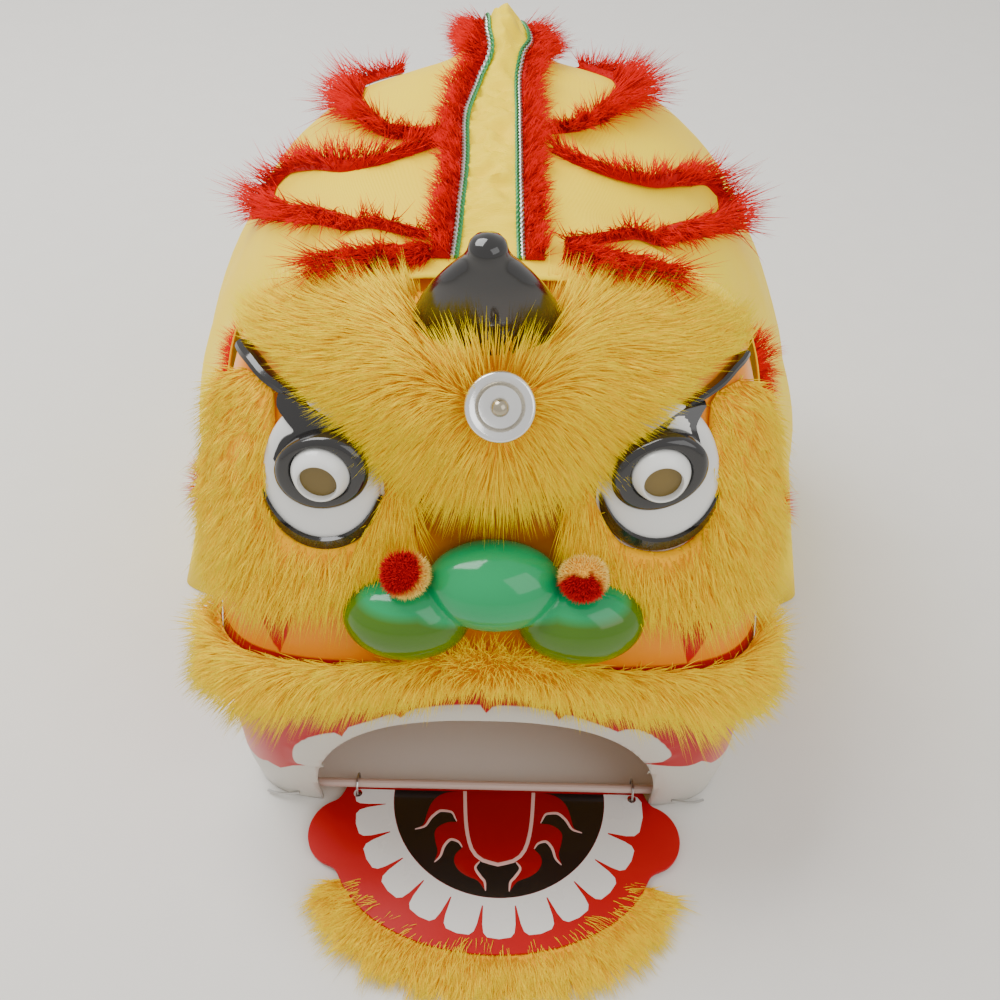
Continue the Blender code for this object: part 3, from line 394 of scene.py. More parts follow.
for face in grid_faces(len(mask_heights), mask_turns + 1):
    middle = sum((mask_points[index] for index in face), Vector()) / 4
    front = middle.y < 0.06 and abs(middle.x) < MOUTH_WIDTH / 2
    if not (front and arch_share(middle.x, middle.z) < 0.992 and middle.z < MOUTH_HEIGHT):
        mask_faces.append(face)


def painted_edge(tree, label, blur=0.35):
    """A mask for a painted shape from its distance in millimetres, with a hand-cut edge."""
    distance = add_node(tree, "ShaderNodeAttribute", attribute_name=label).outputs["Fac"]
    place = add_node(tree, "ShaderNodeTexCoord").outputs["Object"]
    wander = add_node(tree, "ShaderNodeTexNoise", {
        "Vector": place, "Scale": 90.0, "Detail": 2.0}).outputs["Fac"]
    drawn = math_node(tree, "MULTIPLY_ADD", math_node(tree, "SUBTRACT", wander, 0.5), 0.5, distance)
    ramp = add_node(tree, "ShaderNodeMapRange", {0: drawn, 1: -blur, 2: blur})
    return ramp.outputs[0]


def mask_color(tree):
    """Orange cheeks with painted shade in darker brown-orange between the eyes under the brow fur, red
    flames, red gums that fade to pink outside, and white teeth.
    """
    # Painted shade: the orange turns darker brown-orange between the eyes, where the brow fur shades the
    # mask.
    orange = blend_colors(tree, painted_edge(tree, "bridge_shade", 12.0), (0.90, 0.30, 0.0), (0.40, 0.11, 0.0))
    color = blend_colors(tree, painted_edge(tree, "red_flame"), orange, (0.56, 0.003, 0.004))
    red = blend_colors(tree, painted_edge(tree, "fade", 14.0), (0.42, 0.0, 0.004), (0.58, 0.10, 0.09))
    color = blend_colors(tree, painted_edge(tree, "gum", 0.6), color, red)
    return blend_colors(tree, painted_edge(tree, "white"), color, (0.56, 0.53, 0.47))


mask_lacquer = solid_material("mask_lacquer", mask_color, 0.32, patch=0.08, grain=0.05, coat=0.05, gloss=0.25)
mask_shell = add_piece("mask_shell", mask_points, mask_faces, mask_lacquer, sharp=60.0,
                       attributes=[(label, "FLOAT", values) for label, values in mask_paint.items()])
trim = bmesh.new()
trim.from_mesh(mask_shell.data)
bmesh.ops.delete(trim, geom=[vert for vert in trim.verts if not vert.link_faces], context="VERTS")
if sum(face.normal.dot(face.calc_center_median() - Vector((0, 0.05, 0.15))) for face in trim.faces) < 0:
    bmesh.ops.reverse_faces(trim, faces=trim.faces)
trim.to_mesh(mask_shell.data)
trim.free()
mask_wall = mask_shell.modifiers.new("wall", "SOLIDIFY")
mask_wall.thickness = MASK_WALL
mask_wall.offset = -1.0
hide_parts("face_shell")

# The hood: lemon yellow satin, cut in two halves that meet at a pointed fold on the ridge, sewn to
# the mask's rim and hemmed at the floor. Its centre band is the same satin, crinkled by the braids.
HOOD_WIDTH = 0.440
HOOD_HEIGHT = 0.352
HOOD_FRONT_Y = 0.105
HEM_FLARE = 0.030
TOP_REACH = 0.014
HOOD_PEAK_Y = 0.300
HOOD_BACK = 0.130
HOOD_WALL = 0.002
HEM_LIFT = 0.0005
FOLD_DEPTH = 0.006
FIN_HEIGHT = 0.034
FIN_Y = 0.345
# Columns: place from the front edge to the peak, half width and height as shares of the hood's sizes
HOOD_STATIONS = (
    (0.00, 0.730, 0.975),
    (0.20, 0.790, 0.982),
    (0.34, 0.900, 0.986),
    (0.50, 0.970, 0.990),
    (0.75, 1.000, 0.998),
    (1.00, 0.990, 1.000),
)
# Columns: distance from the ridge as a share of the half width, height as a share of the ridge's
HOOD_PROFILE = (
    (0.00, 1.000),
    (0.20, 0.985),
    (0.45, 0.930),
    (0.61, 0.855),
    (0.76, 0.725),
    (0.88, 0.560),
    (0.955, 0.390),
    (0.985, 0.200),
    (1.00, 0.000),
)
RIM_SHARE = (MASK_RIM_Y + 0.003 - HOOD_FRONT_Y) / (HOOD_PEAK_Y - HOOD_FRONT_Y)


def fin(x, y):
    """The pointed fold that the band makes on the ridge."""
    run = (y - FIN_Y) / 0.045
    return FIN_HEIGHT * math.exp(-(x / 0.020) ** 2) * math.exp(-run * run)


def hood_section(place_share, ridge_share):
    """Distance from the spine and height: 0 to 1 runs to the peak, 1 to 2 round the back."""
    rise = between(HOOD_PROFILE, ridge_share, 1)
    if place_share > 1:
        turn = math.pi / 2 * (place_share - 1)
        side = between(HOOD_STATIONS, 1.0, 1) * HOOD_WIDTH / 2
        half = 1 / math.sqrt((math.cos(turn) / side) ** 2 + (math.sin(turn) / HOOD_BACK) ** 2)
        tall = HOOD_HEIGHT
    else:
        half = between(HOOD_STATIONS, place_share, 1) * HOOD_WIDTH / 2
        tall = between(HOOD_STATIONS, place_share, 2) * HOOD_HEIGHT
    fold = FOLD_DEPTH * math.sin(11 * place_share * 2.2) * (1 - min(rise, 1.0)) ** 1.5
    out = half * ridge_share + fold * min(1.0, place_share * 3)
    out += HEM_FLARE * (1 - min(rise, 1.0)) ** 3 * math.exp(-((place_share - 0.36) / 0.14) ** 2)
    rim_clear = HOOD_WALL + 0.0012
    rim_out = (between(MASK_SECTIONS, rise, 1) * MASK_WIDTH / 2 + rim_clear) * min(1.0, ridge_share / 0.04)
    rim_high = rise * MASK_HEIGHT + rim_clear * rise
    free = min(max((place_share - RIM_SHARE) / 0.20, 0.0), 1.0)
    free = free * free * (3 - 2 * free)
    high = rim_high + (rise * tall - rim_high) * free + HEM_LIFT * (1 - rise)
    return rim_out + (out - rim_out) * free, high


def hood_at(place_share, ridge_share, side):
    """A point of the hood on its left or right side."""
    out, high = hood_section(place_share, ridge_share)
    turn = math.pi / 2 * max(place_share - 1, 0.0)
    y = HOOD_FRONT_Y + (HOOD_PEAK_Y - HOOD_FRONT_Y) * min(place_share, 1.0)
    peak = min(max((between(HOOD_PROFILE, ridge_share, 1) - 0.88) / 0.10, 0.0), 1.0)
    y -= TOP_REACH * peak * max(0.0, 1 - place_share / RIM_SHARE)
    deep = y + out * math.sin(turn)
    return Vector((side * out * math.cos(turn), deep, high + fin(out * math.cos(turn), deep)))


def hood_top(x, y):
    """The hood's point above a place on the floor."""
    if y <= HOOD_PEAK_Y:
        place_share = (y - HOOD_FRONT_Y) / (HOOD_PEAK_Y - HOOD_FRONT_Y)
        target = abs(x)
    else:
        place_share = 1 + math.atan2(y - HOOD_PEAK_Y, abs(x)) / (math.pi / 2)
        target = math.hypot(x, y - HOOD_PEAK_Y)
    near, far = 0.0, 1.0
    for _ in range(20):
        middle = (near + far) / 2
        if hood_section(max(place_share, 0.0), middle)[0] < target:
            near = middle
        else:
            far = middle
    return Vector((x, y, hood_section(max(place_share, 0.0), near)[1] + fin(x, y)))


def hood_side(y, z, side):
    """The hood's point beside a place: how far back and how high it is."""
    place_share = (y - HOOD_FRONT_Y) / (HOOD_PEAK_Y - HOOD_FRONT_Y)
    near, far = 0.0, 1.0
    for _ in range(20):
        middle = (near + far) / 2
        if hood_section(place_share, middle)[1] > z:
            near = middle
        else:
            far = middle
    return hood_at(place_share, near, side)


# Columns: distance from the front edge in shares of the ridge's run, half width and drift of the band
BAND_STATIONS = (
    (0.00, 0.517, -0.004), (0.31, 0.440, -0.0035), (0.48, 0.455, -0.0045), (0.65, 0.320, -0.0015),
    (0.72, 0.240, 0.0025), (0.80, 0.360, 0.0040), (0.89, 0.320, 0.0010), (1.00, 0.140, -0.006),
)
BAND_WIDTH = 0.029
BAND_START = 0.002
BAND_RUN = 0.267


def band_edge(share, side, extra=0.0):
    """A place on the floor under the band's edge, moved sideways by an extra width."""
    half = between(BAND_STATIONS, share, 1) * BAND_WIDTH
    drift = between(BAND_STATIONS, share, 2)
    return drift + side * (half + extra), HOOD_FRONT_Y + BAND_START + share * BAND_RUN


def crinkle(point):
    """How far the satin stands off its plain form: soft sags on the sides, sharp creases in the band."""
    place = Vector((point.x * 9, point.y * 7, point.z * 7))
    sag = 0.0020 * noise.noise(place) + 0.0010 * noise.noise(place * 2.6)
    run = (point.y - HOOD_FRONT_Y - BAND_START) / BAND_RUN
    half = between(BAND_STATIONS, run, 1) * BAND_WIDTH
    in_band = 1 / (1 + math.exp((abs(point.x - between(BAND_STATIONS, run, 2)) - half) / 0.0012))
    if point.z < 0.28 or run < 0.02:
        in_band = 0.0
    crease = abs(noise.noise(Vector((point.x * 60, point.y * 95 + point.x * 40, point.z * 30))))
    fold = 0.0016 * noise.noise(Vector((point.x * 150, point.y * 60, 3.0)))
    return sag * min(1.0, max(0.0, (point.y - 0.13) / 0.03)) + in_band * (1.5 * fold - 0.012 * crease + 0.002)


hood_ridges = [0.16 * index / 12 for index in range(12)]
hood_ridges += [0.16 + 0.74 * index / 26 for index in range(26)]
hood_ridges += [0.90 + 0.10 * index / 12 for index in range(13)]
hood_places = [1.0 * index / 72 for index in range(72)] + [1 + index / 48 for index in range(49)]
hood_points = []
for share in hood_places:
    row = [(ridge, -1) for ridge in reversed(hood_ridges)] + [(ridge, 1) for ridge in hood_ridges[1:]]
    for ridge, side in row:
        point = hood_at(share, ridge, side)
        hood_points.append(point + (point - Vector((0, 0.22, 0.10))).normalized() * crinkle(point))
hood_columns = 2 * len(hood_ridges) - 1


def satin_color(tree):
    """Lemon satin that wanders between a deeper, warmer yellow and a paler one in soft random clouds."""
    place = add_node(tree, "ShaderNodeTexCoord").outputs["Object"]
    cloud = add_node(tree, "ShaderNodeTexNoise", {
        "Vector": place, "Scale": 9.0, "Detail": 3.0}).outputs["Fac"]
    return blend_colors(tree, cloud, (0.94, 0.62, 0.0), (1.0, 0.78, 0.0))


satin, satin_tree, satin_shader = new_material("lemon_satin")
satin_place = add_node(satin_tree, "ShaderNodeTexCoord").outputs["Object"]
satin_threads = []
for direction, scale in (("X", 620.0), ("Z", 480.0)):
    wave = add_node(satin_tree, "ShaderNodeTexWave", {
        "Vector": satin_place, "Scale": scale, "Distortion": 0.6, "Detail": 1.0}, bands_direction=direction)
    satin_threads.append(wave.outputs["Fac"])
satin_weave = math_node(satin_tree, "MULTIPLY_ADD", satin_threads[0], 0.35, satin_threads[1])
satin_fine = add_node(satin_tree, "ShaderNodeTexNoise", {
    "Vector": satin_place, "Scale": 70.0, "Detail": 4.0}).outputs["Fac"]
satin_height = math_node(satin_tree, "MULTIPLY_ADD", satin_fine, 3.0, satin_weave)
satin_bump = add_node(satin_tree, "ShaderNodeBump", {
    "Strength": 0.22, "Distance": 0.0006, "Height": satin_height})
satin_tree.links.new(satin_bump.outputs["Normal"], satin_shader.inputs["Normal"])
satin_dye_and_glow = satin_color(satin_tree)
satin_tree.links.new(satin_dye_and_glow, satin_shader.inputs["Base Color"])
# The satin's colour also drives a faint emission: a painted glow that lightens the cloth, though it is no
# lamp.
satin_tree.links.new(satin_dye_and_glow, satin_shader.inputs["Emission Color"])
satin_shader.inputs["Emission Strength"].default_value = 0.08
satin_rough = add_node(satin_tree, "ShaderNodeMapRange", {0: satin_fine, 3: 0.34, 4: 0.50}).outputs[0]
satin_tree.links.new(satin_rough, satin_shader.inputs["Roughness"])
satin_shader.inputs["Sheen Weight"].default_value = 0.20
satin_shader.inputs["Sheen Tint"].default_value = (1.0, 0.72, 0.0, 1.0)
satin_shader.inputs["Specular IOR Level"].default_value = 0.40
satin_shader.inputs["Specular Tint"].default_value = (1.0, 0.75, 0.05, 1.0)
satin_shader.inputs["Anisotropic"].default_value = 0.4

satin_hood = add_piece("satin_hood", hood_points, grid_faces(len(hood_places), hood_columns), satin,
                       sharp=75.0)
hood_wall = satin_hood.modifiers.new("wall", "SOLIDIFY")
hood_wall.thickness = 0.0009
hood_wall.offset = -1.0
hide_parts("hood")

# Faux fur: every trim is the same long pile, cut from a knitted backing and glued down. A backing
# pad carries the strands, which lean the way they were combed and gather into tufts at their tips.
pile_tree = bpy.data.node_groups.new("pile", "GeometryNodeTree")
pile_tree.interface.new_socket("Geometry", in_out="INPUT", socket_type="NodeSocketGeometry")
PILE_SIZES = (("Density", 400000.0), ("Length", 0.024), ("Strand Width", 0.00022), ("Stray", 0.30),
              ("Tuft Size", 0.009), ("Tuft Pull", 0.55), ("Wave Size", 0.012), ("Wave Depth", 0.006),
              ("Droop", 0.20))
for pile_label, pile_value in PILE_SIZES:
    pile_socket = pile_tree.interface.new_socket(pile_label, in_out="INPUT", socket_type="NodeSocketFloat")
    pile_socket.default_value = pile_value
pile_tree.interface.new_socket("Seed", in_out="INPUT", socket_type="NodeSocketInt")
pile_tree.interface.new_socket("Material", in_out="INPUT", socket_type="NodeSocketMaterial")
pile_tree.interface.new_socket("Geometry", in_out="OUTPUT", socket_type="NodeSocketGeometry")
pile_in = pile_tree.nodes.new("NodeGroupInput").outputs
pile_out = pile_tree.nodes.new("NodeGroupOutput")


def named_value(label, kind="FLOAT"):
    """Reads a named attribute in the pile's tree."""
    return add_node(pile_tree, "GeometryNodeInputNamedAttribute", {"Name": label}, data_type=kind).outputs[0]


def keep_value(geometry, label, value, kind="FLOAT"):
    """Stores a named attribute in the pile's tree."""
    made = add_node(pile_tree, "GeometryNodeStoreNamedAttribute",
                    {"Geometry": geometry, "Name": label, "Value": value}, data_type=kind)
    return made.outputs[0]


def random_value(low, high, shift):
    """A random number for each strand."""
    made = add_node(pile_tree, "FunctionNodeRandomValue", {2: low, 3: high})
    pile_tree.links.new(math_node(pile_tree, "ADD", pile_in["Seed"], shift), made.inputs["Seed"])
    return made.outputs[1]


def random_vector(shift):
    """A random direction for each strand, from -1 to 1 on each axis."""
    made = add_node(pile_tree, "FunctionNodeRandomValue", {0: (-1, -1, -1), 1: (1, 1, 1)},
                    data_type="FLOAT_VECTOR")
    pile_tree.links.new(math_node(pile_tree, "ADD", pile_in["Seed"], shift), made.inputs["Seed"])
    return made.outputs[0]


pile_cone = add_node(pile_tree, "GeometryNodeMeshCone", {
    "Vertices": 3, "Side Segments": 2, "Fill Segments": 1, "Radius Top": 0.0, "Radius Bottom": 1.0,
    "Depth": 1.0}, fill_type="NGON").outputs["Mesh"]
pile_here = add_node(pile_tree, "GeometryNodeInputPosition").outputs[0]
pile_high = add_node(pile_tree, "ShaderNodeSeparateXYZ", {0: pile_here}).outputs["Z"]
pile_strand = keep_value(pile_cone, "t", pile_high)
pile_belly = math_node(pile_tree, "MULTIPLY_ADD", math_node(
    pile_tree, "MULTIPLY", pile_high, math_node(pile_tree, "SUBTRACT", 1.0, pile_high)), 1.6, 1.0)
pile_wide = add_node(pile_tree, "ShaderNodeCombineXYZ", {0: pile_belly, 1: pile_belly, 2: 1.0}).outputs[0]
pile_strand = add_node(pile_tree, "GeometryNodeSetPosition", {
    "Geometry": pile_strand, "Position": vector_node(pile_tree, "MULTIPLY", pile_here, pile_wide)}).outputs[0]

pile_cover = math_node(pile_tree, "MULTIPLY", pile_in["Density"], named_value("cover"))
pile_roots = add_node(pile_tree, "GeometryNodeDistributePointsOnFaces", {
    "Mesh": pile_in["Geometry"], "Density": pile_cover, "Seed": pile_in["Seed"]}).outputs["Points"]
pile_lean = vector_node(pile_tree, "NORMALIZE", vector_node(
    pile_tree, "ADD", vector_node(pile_tree, "NORMALIZE", named_value("comb", "FLOAT_VECTOR")),
    vector_node(pile_tree, "SCALE", random_vector(1), pile_in["Stray"])))
pile_reach = math_node(pile_tree, "MULTIPLY", math_node(
    pile_tree, "MULTIPLY", pile_in["Length"], named_value("long")), random_value(0.62, 1.12, 2))
pile_roots = keep_value(pile_roots, "reach", pile_reach)
pile_roots = keep_value(pile_roots, "root", pile_here, "FLOAT_VECTOR")
pile_roots = keep_value(pile_roots, "tone", random_value(0.0, 1.0, 3))
pile_turn = add_node(pile_tree, "FunctionNodeAlignRotationToVector", {"Vector": pile_lean},
                     axis="Z").outputs[0]
pile_twist = add_node(pile_tree, "FunctionNodeAxisAngleToRotation", {
    "Axis": (0, 0, 1), "Angle": random_value(0.0, 2.0, 4)}).outputs[0]
pile_turn = add_node(pile_tree, "FunctionNodeRotateRotation", {0: pile_turn, 1: pile_twist},
                     rotation_space="LOCAL").outputs[0]
pile_thick = math_node(pile_tree, "MULTIPLY", pile_in["Strand Width"], random_value(0.7, 1.3, 5))
pile_scale = add_node(pile_tree, "ShaderNodeCombineXYZ", {
    0: pile_thick, 1: pile_thick, 2: named_value("reach")}).outputs[0]
pile_hairs = add_node(pile_tree, "GeometryNodeInstanceOnPoints", {
    "Points": pile_roots, "Instance": pile_strand, "Rotation": pile_turn, "Scale": pile_scale}).outputs[0]
pile_hairs = add_node(pile_tree, "GeometryNodeRealizeInstances", {0: pile_hairs}).outputs[0]

pile_t = named_value("t")
pile_root = named_value("root", "FLOAT_VECTOR")
pile_cell = add_node(pile_tree, "ShaderNodeTexVoronoi", {
    "Vector": pile_root,
    "Scale": math_node(pile_tree, "DIVIDE", 1.0, pile_in["Tuft Size"])}).outputs["Position"]
pile_pull = math_node(pile_tree, "MULTIPLY", math_node(pile_tree, "POWER", pile_t, 1.4), pile_in["Tuft Pull"])
pile_gather = vector_node(pile_tree, "SUBTRACT", pile_cell, pile_root)
pile_gather = vector_node(pile_tree, "SCALE", pile_gather, pile_pull)
pile_wind = add_node(pile_tree, "ShaderNodeTexNoise", {
    "Vector": pile_root, "Scale": math_node(pile_tree, "DIVIDE", 1.0, pile_in["Wave Size"]), "Detail": 1.0})
pile_wave = vector_node(pile_tree, "SCALE", vector_node(
    pile_tree, "SUBTRACT", pile_wind.outputs["Color"], (0.5, 0.5, 0.5)),
    math_node(pile_tree, "MULTIPLY", math_node(pile_tree, "MULTIPLY", pile_t, pile_in["Wave Depth"]), 2.0))
pile_fall = math_node(pile_tree, "MULTIPLY", math_node(pile_tree, "MULTIPLY", pile_t, pile_t),
                      named_value("reach"))
pile_fall = math_node(pile_tree, "MULTIPLY", pile_fall, pile_in["Droop"])
pile_fall = add_node(pile_tree, "ShaderNodeCombineXYZ", {
    2: math_node(pile_tree, "MULTIPLY", pile_fall, -1.0)}).outputs[0]
pile_shift = vector_node(pile_tree, "ADD", vector_node(pile_tree, "ADD", pile_gather, pile_wave), pile_fall)
pile_hairs = add_node(pile_tree, "GeometryNodeSetPosition", {
    "Geometry": pile_hairs, "Offset": pile_shift}).outputs[0]
pile_joined = add_node(pile_tree, "GeometryNodeJoinGeometry")
pile_tree.links.new(pile_hairs, pile_joined.inputs[0])
pile_tree.links.new(pile_in["Geometry"], pile_joined.inputs[0])
pile_done = add_node(pile_tree, "GeometryNodeRealizeInstances", {0: pile_joined.outputs[0]}).outputs[0]
pile_done = add_node(pile_tree, "GeometryNodeSetShadeSmooth", {0: pile_done}).outputs[0]
pile_done = add_node(pile_tree, "GeometryNodeSetMaterial", {
    "Geometry": pile_done, "Material": pile_in["Material"]}).outputs[0]
pile_tree.links.new(pile_done, pile_out.inputs[0])
PILE_SOCKETS = {item.name: item.identifier for item in pile_tree.interface.items_tree
                if item.in_out == "INPUT"}


def pile_material(name, root, body, tip, glow, second=None):
    """Dyed pile: deeper at the root, paler at the tip, each strand a little different. The deep root colour
    is partly the dye and partly painted shade for the depth of the pile and its bare backing. An emission of
    the pile's own colour is a painted glow for light that scatters through the pile. A second set of colours
    shows where the attribute named second is above a half."""
    made, tree, shader = new_material(name)
    along = add_node(tree, "ShaderNodeAttribute", attribute_name="t").outputs["Fac"]
    tone = add_node(tree, "ShaderNodeAttribute", attribute_name="tone").outputs["Fac"]
    place = add_node(tree, "ShaderNodeTexCoord").outputs["Object"]
    cloud = add_node(tree, "ShaderNodeTexNoise", {
        "Vector": place, "Scale": 28.0, "Detail": 3.0}).outputs["Fac"]
    up = math_node(tree, "MULTIPLY_ADD", math_node(tree, "SUBTRACT", tone, 0.5), 0.30, along)
    up = math_node(tree, "MULTIPLY_ADD", math_node(tree, "SUBTRACT", cloud, 0.5), 0.45, up)
    low = add_node(tree, "ShaderNodeMapRange", {0: up, 1: 0.0, 2: 0.42}).outputs[0]
    high = add_node(tree, "ShaderNodeMapRange", {0: up, 1: 0.55, 2: 1.15}).outputs[0]
    # The root colour is partly the dye and partly painted shade for the depth of the pile.
    color = blend_colors(tree, high, blend_colors(tree, low, root, body), tip)
    if second:
        other = blend_colors(tree, high, blend_colors(tree, low, second[0], second[1]), second[2])
        share = add_node(tree, "ShaderNodeAttribute", attribute_name="second").outputs["Fac"]
        color = blend_colors(tree, share, color, other)
    tree.links.new(color, shader.inputs["Base Color"])
    # The same colour feeds the emission: a painted glow, though the pile is no lamp.
    tree.links.new(color, shader.inputs["Emission Color"])
    shader.inputs["Emission Strength"].default_value = glow
    rough = add_node(tree, "ShaderNodeMapRange", {0: tone, 3: 0.45, 4: 0.68}).outputs[0]
    tree.links.new(rough, shader.inputs["Roughness"])
    shader.inputs["Specular IOR Level"].default_value = 0.30
    shader.inputs["Specular Tint"].default_value = (*body, 1.0)
    shader.inputs["Sheen Weight"].default_value = 0.10
    shader.inputs["Sheen Tint"].default_value = (*body, 1.0)
    return made


golden_pile = pile_material("golden_pile", (0.90, 0.42, 0.0), (0.97, 0.67, 0.0), (1.0, 0.84, 0.0), 0.14)
red_pile = pile_material("red_pile", (0.42, 0.0, 0.001), (0.74, 0.003, 0.003), (0.86, 0.014, 0.008), 0.08)


def grow_pile(name, inner, outer, columns, comb, cover, long, material, nodes, slot, strands, seed,
              body="head", around=False, extra=(), floor=0.0006, **sizes):
    """Fur on a backing pad. inner and outer are its points row by row; comb, cover and long are given
    for the outer ones: which way the strands lean, how thick they grow and how long they are."""
    rows = len(inner) // columns
    blank = [0.0] * len(inner)
    lists = [("cover", "FLOAT", blank + cover), ("long", "FLOAT", blank + long),
             ("comb", "FLOAT_VECTOR", [Vector((0, 0, 1))] * len(inner) + comb)]
    lists += [(label, "FLOAT", blank + values) for label, values in extra]
    backing = add_piece(name, inner + outer, slab_faces(rows, columns, around), material, body,
                        attributes=lists)
    area, mesh = 0.0, backing.data
    for face in mesh.polygons:
        shares = [mesh.attributes["cover"].data[v].value for v in face.vertices]
        area += face.area * sum(shares) / len(shares)
    grower = backing.modifiers.new("pile", "NODES")
    grower.node_group = pile_tree
    grower[PILE_SOCKETS["Density"]] = strands / area
    grower[PILE_SOCKETS["Seed"]] = seed
    grower[PILE_SOCKETS["Material"]] = material
    for label, value in sizes.items():
        grower[PILE_SOCKETS[label.replace("_", " ").title()]] = value
    graph = bpy.context.evaluated_depsgraph_get()
    grown = bpy.data.meshes.new_from_object(backing.evaluated_get(graph), preserve_all_data_layers=True,
                                            depsgraph=graph)
    backing.modifiers.clear()
    backing.data = grown
    grown.name = name
    for vert in grown.vertices:
        vert.co.z = max(vert.co.z, floor)
    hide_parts(*nodes)
    return backing


# The fur on the mask: the brow over the eyes, the cheeks under them and the moustache over the lip.
# The brow parts in the middle and is combed out to the sides; its lowest locks hang over the nose.
FUR_DEPTH = 0.016
FUR_GAP = 0.0015
MIRROR_PLACE = Vector((0.004, 0.0, 0.295))
HORN_X = -0.003
# Columns: turn from the nose line in degrees, height share of the lower edge, of the upper edge
BROW_HALF = (
    (0.0, 0.775, 0.982), (18.0, 0.805, 0.980), (27.0, 0.858, 0.978), (34.0, 0.888, 0.976),
    (45.0, 0.908, 0.972), (60.0, 0.905, 0.955), (70.0, 0.885, 0.930),
)
CHEEK_RIGHT = (
    (14.5, 0.665, 0.800), (18.0, 0.635, 0.790), (21.0, 0.615, 0.720), (25.0, 0.598, 0.668),
    (31.0, 0.585, 0.655), (36.0, 0.570, 0.668), (39.5, 0.562, 0.730), (41.5, 0.558, 0.830),
    (44.0, 0.555, 0.872), (48.0, 0.550, 0.880), (54.0, 0.545, 0.878), (60.0, 0.540, 0.860),
    (68.0, 0.540, 0.780),
)
MOUSTACHE_HALF = (
    (0.0, 0.430, 0.472), (25.0, 0.420, 0.450), (48.0, 0.385, 0.440), (60.0, 0.360, 0.430),
)


def other_side(table):
    """The same edges on the other side of the nose line."""
    return tuple((-turn, low, high) for turn, low, high in reversed(table))


CHEEK_LEFT = other_side(CHEEK_RIGHT)
BROW_LINE = other_side(BROW_HALF[1:]) + BROW_HALF
MOUSTACHE_LINE = other_side(MOUSTACHE_HALF[1:]) + MOUSTACHE_HALF


def mask_fur(name, table, columns, rows, depth, comb_at, cover_at, long_at, strands, seed, **sizes):
    """Fur on the mask between two edges. comb_at gives sideways, upward and outward shares."""
    first, last = table[0][0], table[-1][0]
    inner, outer, comb, cover, long = [], [], [], [], []
    for row in range(rows + 1):
        v = row / rows
        for column in range(columns + 1):
            u = column / columns
            degrees = first + (last - first) * u
            low, high = between(table, degrees, 1), between(table, degrees, 2)
            turn, height = math.radians(degrees), low + (high - low) * v
            seat = mask_at(turn, height, FUR_GAP)
            held = min(max(height, 0.02), 0.97)
            out = surface_out(mask_at, turn, held)
            across = (mask_at(turn + 0.01, held) - mask_at(turn - 0.01, held)).normalized()
            up = out.cross(across)
            full = (max(0.0, 1 - abs(2 * u - 1) ** 4) * max(0.0, 1 - abs(2 * v - 1) ** 3)) ** 0.5
            inner.append(seat)
            outer.append(seat + out * (0.001 + depth * full))
            aside, rise, lift = comb_at(2 * u - 1, v, seat)
            comb.append((across * aside + up * rise + out * lift).normalized())
            cover.append(cover_at(2 * u - 1, v, seat))
            long.append(long_at(2 * u - 1, v, seat))
    return grow_pile(name + "_pile", inner, outer, columns + 1, comb, cover, long, golden_pile, [name],
                     "yellow_fur", strands, seed, **sizes)


def mirror_near(seat):
    """1 right under the mirror, 0 away from it."""
    return math.exp(-((seat.x - MIRROR_PLACE.x) ** 2 + (seat.z - MIRROR_PLACE.z) ** 2) / 0.020 ** 2)


def horn_near(seat):
    """1 before the horn's foot, 0 away from it."""
    return math.exp(-((seat.x - HORN_X) / 0.030) ** 2) * min(1.0, max(0.0, (seat.z - 0.293) / 0.006))


def brow_comb(u, v, seat):
    """Outwards from the parting, down below the mirror, and up over the horn's base at the top."""
    part = seat.x - MIRROR_PLACE.x
    aside = 1.5 * math.tanh(part / 0.035)
    rise = -1.3 * (1 - v) * math.exp(-(u / 0.45) ** 2) - 0.12 + 0.70 * max(0.0, v - 0.65) / 0.35
    rise += 0.45 * max(0.0, 0.6 - v) * (1 - math.exp(-(u / 0.40) ** 2)) + 1.3 * max(0.0, v - 0.8) / 0.2
    rise += 1.6 * math.exp(-((seat.x - HORN_X) / 0.034) ** 2) * min(1.0, max(0.0, (v - 0.50) / 0.12))
    aside *= 1 - 0.6 * (1 - v) * math.exp(-(u / 0.16) ** 2)
    near = mirror_near(seat)
    horn = horn_near(seat)
    aside = (aside + 1.6 * near * math.copysign(1.0, part)) * (1 - 0.75 * horn)
    rise += 1.2 * near * math.copysign(1.0, seat.z - MIRROR_PLACE.z)
    return aside, rise, 0.50 - 0.2 * near + 0.9 * horn


def brow_cover(u, v, seat):
    """Bare under the mirror and inside the horn's foot."""
    under_mirror = math.hypot(seat.x - MIRROR_PLACE.x, seat.z - MIRROR_PLACE.z) < 0.011
    beside = abs(seat.x - HORN_X)
    under_horn = beside < 0.028 and seat.z > 0.3095 or beside < 0.036 and seat.z > 0.318
    return 0.0 if under_mirror or under_horn else 1.0


def brow_long(u, v, seat):
    """Long over the nose and before the horn, short along the strips and round the mirror."""
    long = 1.0 + 0.45 * (1 - v) ** 1.5 * math.exp(-(u / 0.20) ** 2)
    long += 0.75 * min(1.0, max(0.0, (seat.z - 0.293) / 0.010)) * math.exp(-(seat.x / 0.026) ** 2)
    long -= 0.30 * max(0.0, 0.4 - v) / 0.4 * (1 - math.exp(-(u / 0.35) ** 2))
    return long * (1 - 0.55 * mirror_near(seat) * (1 - horn_near(seat)))


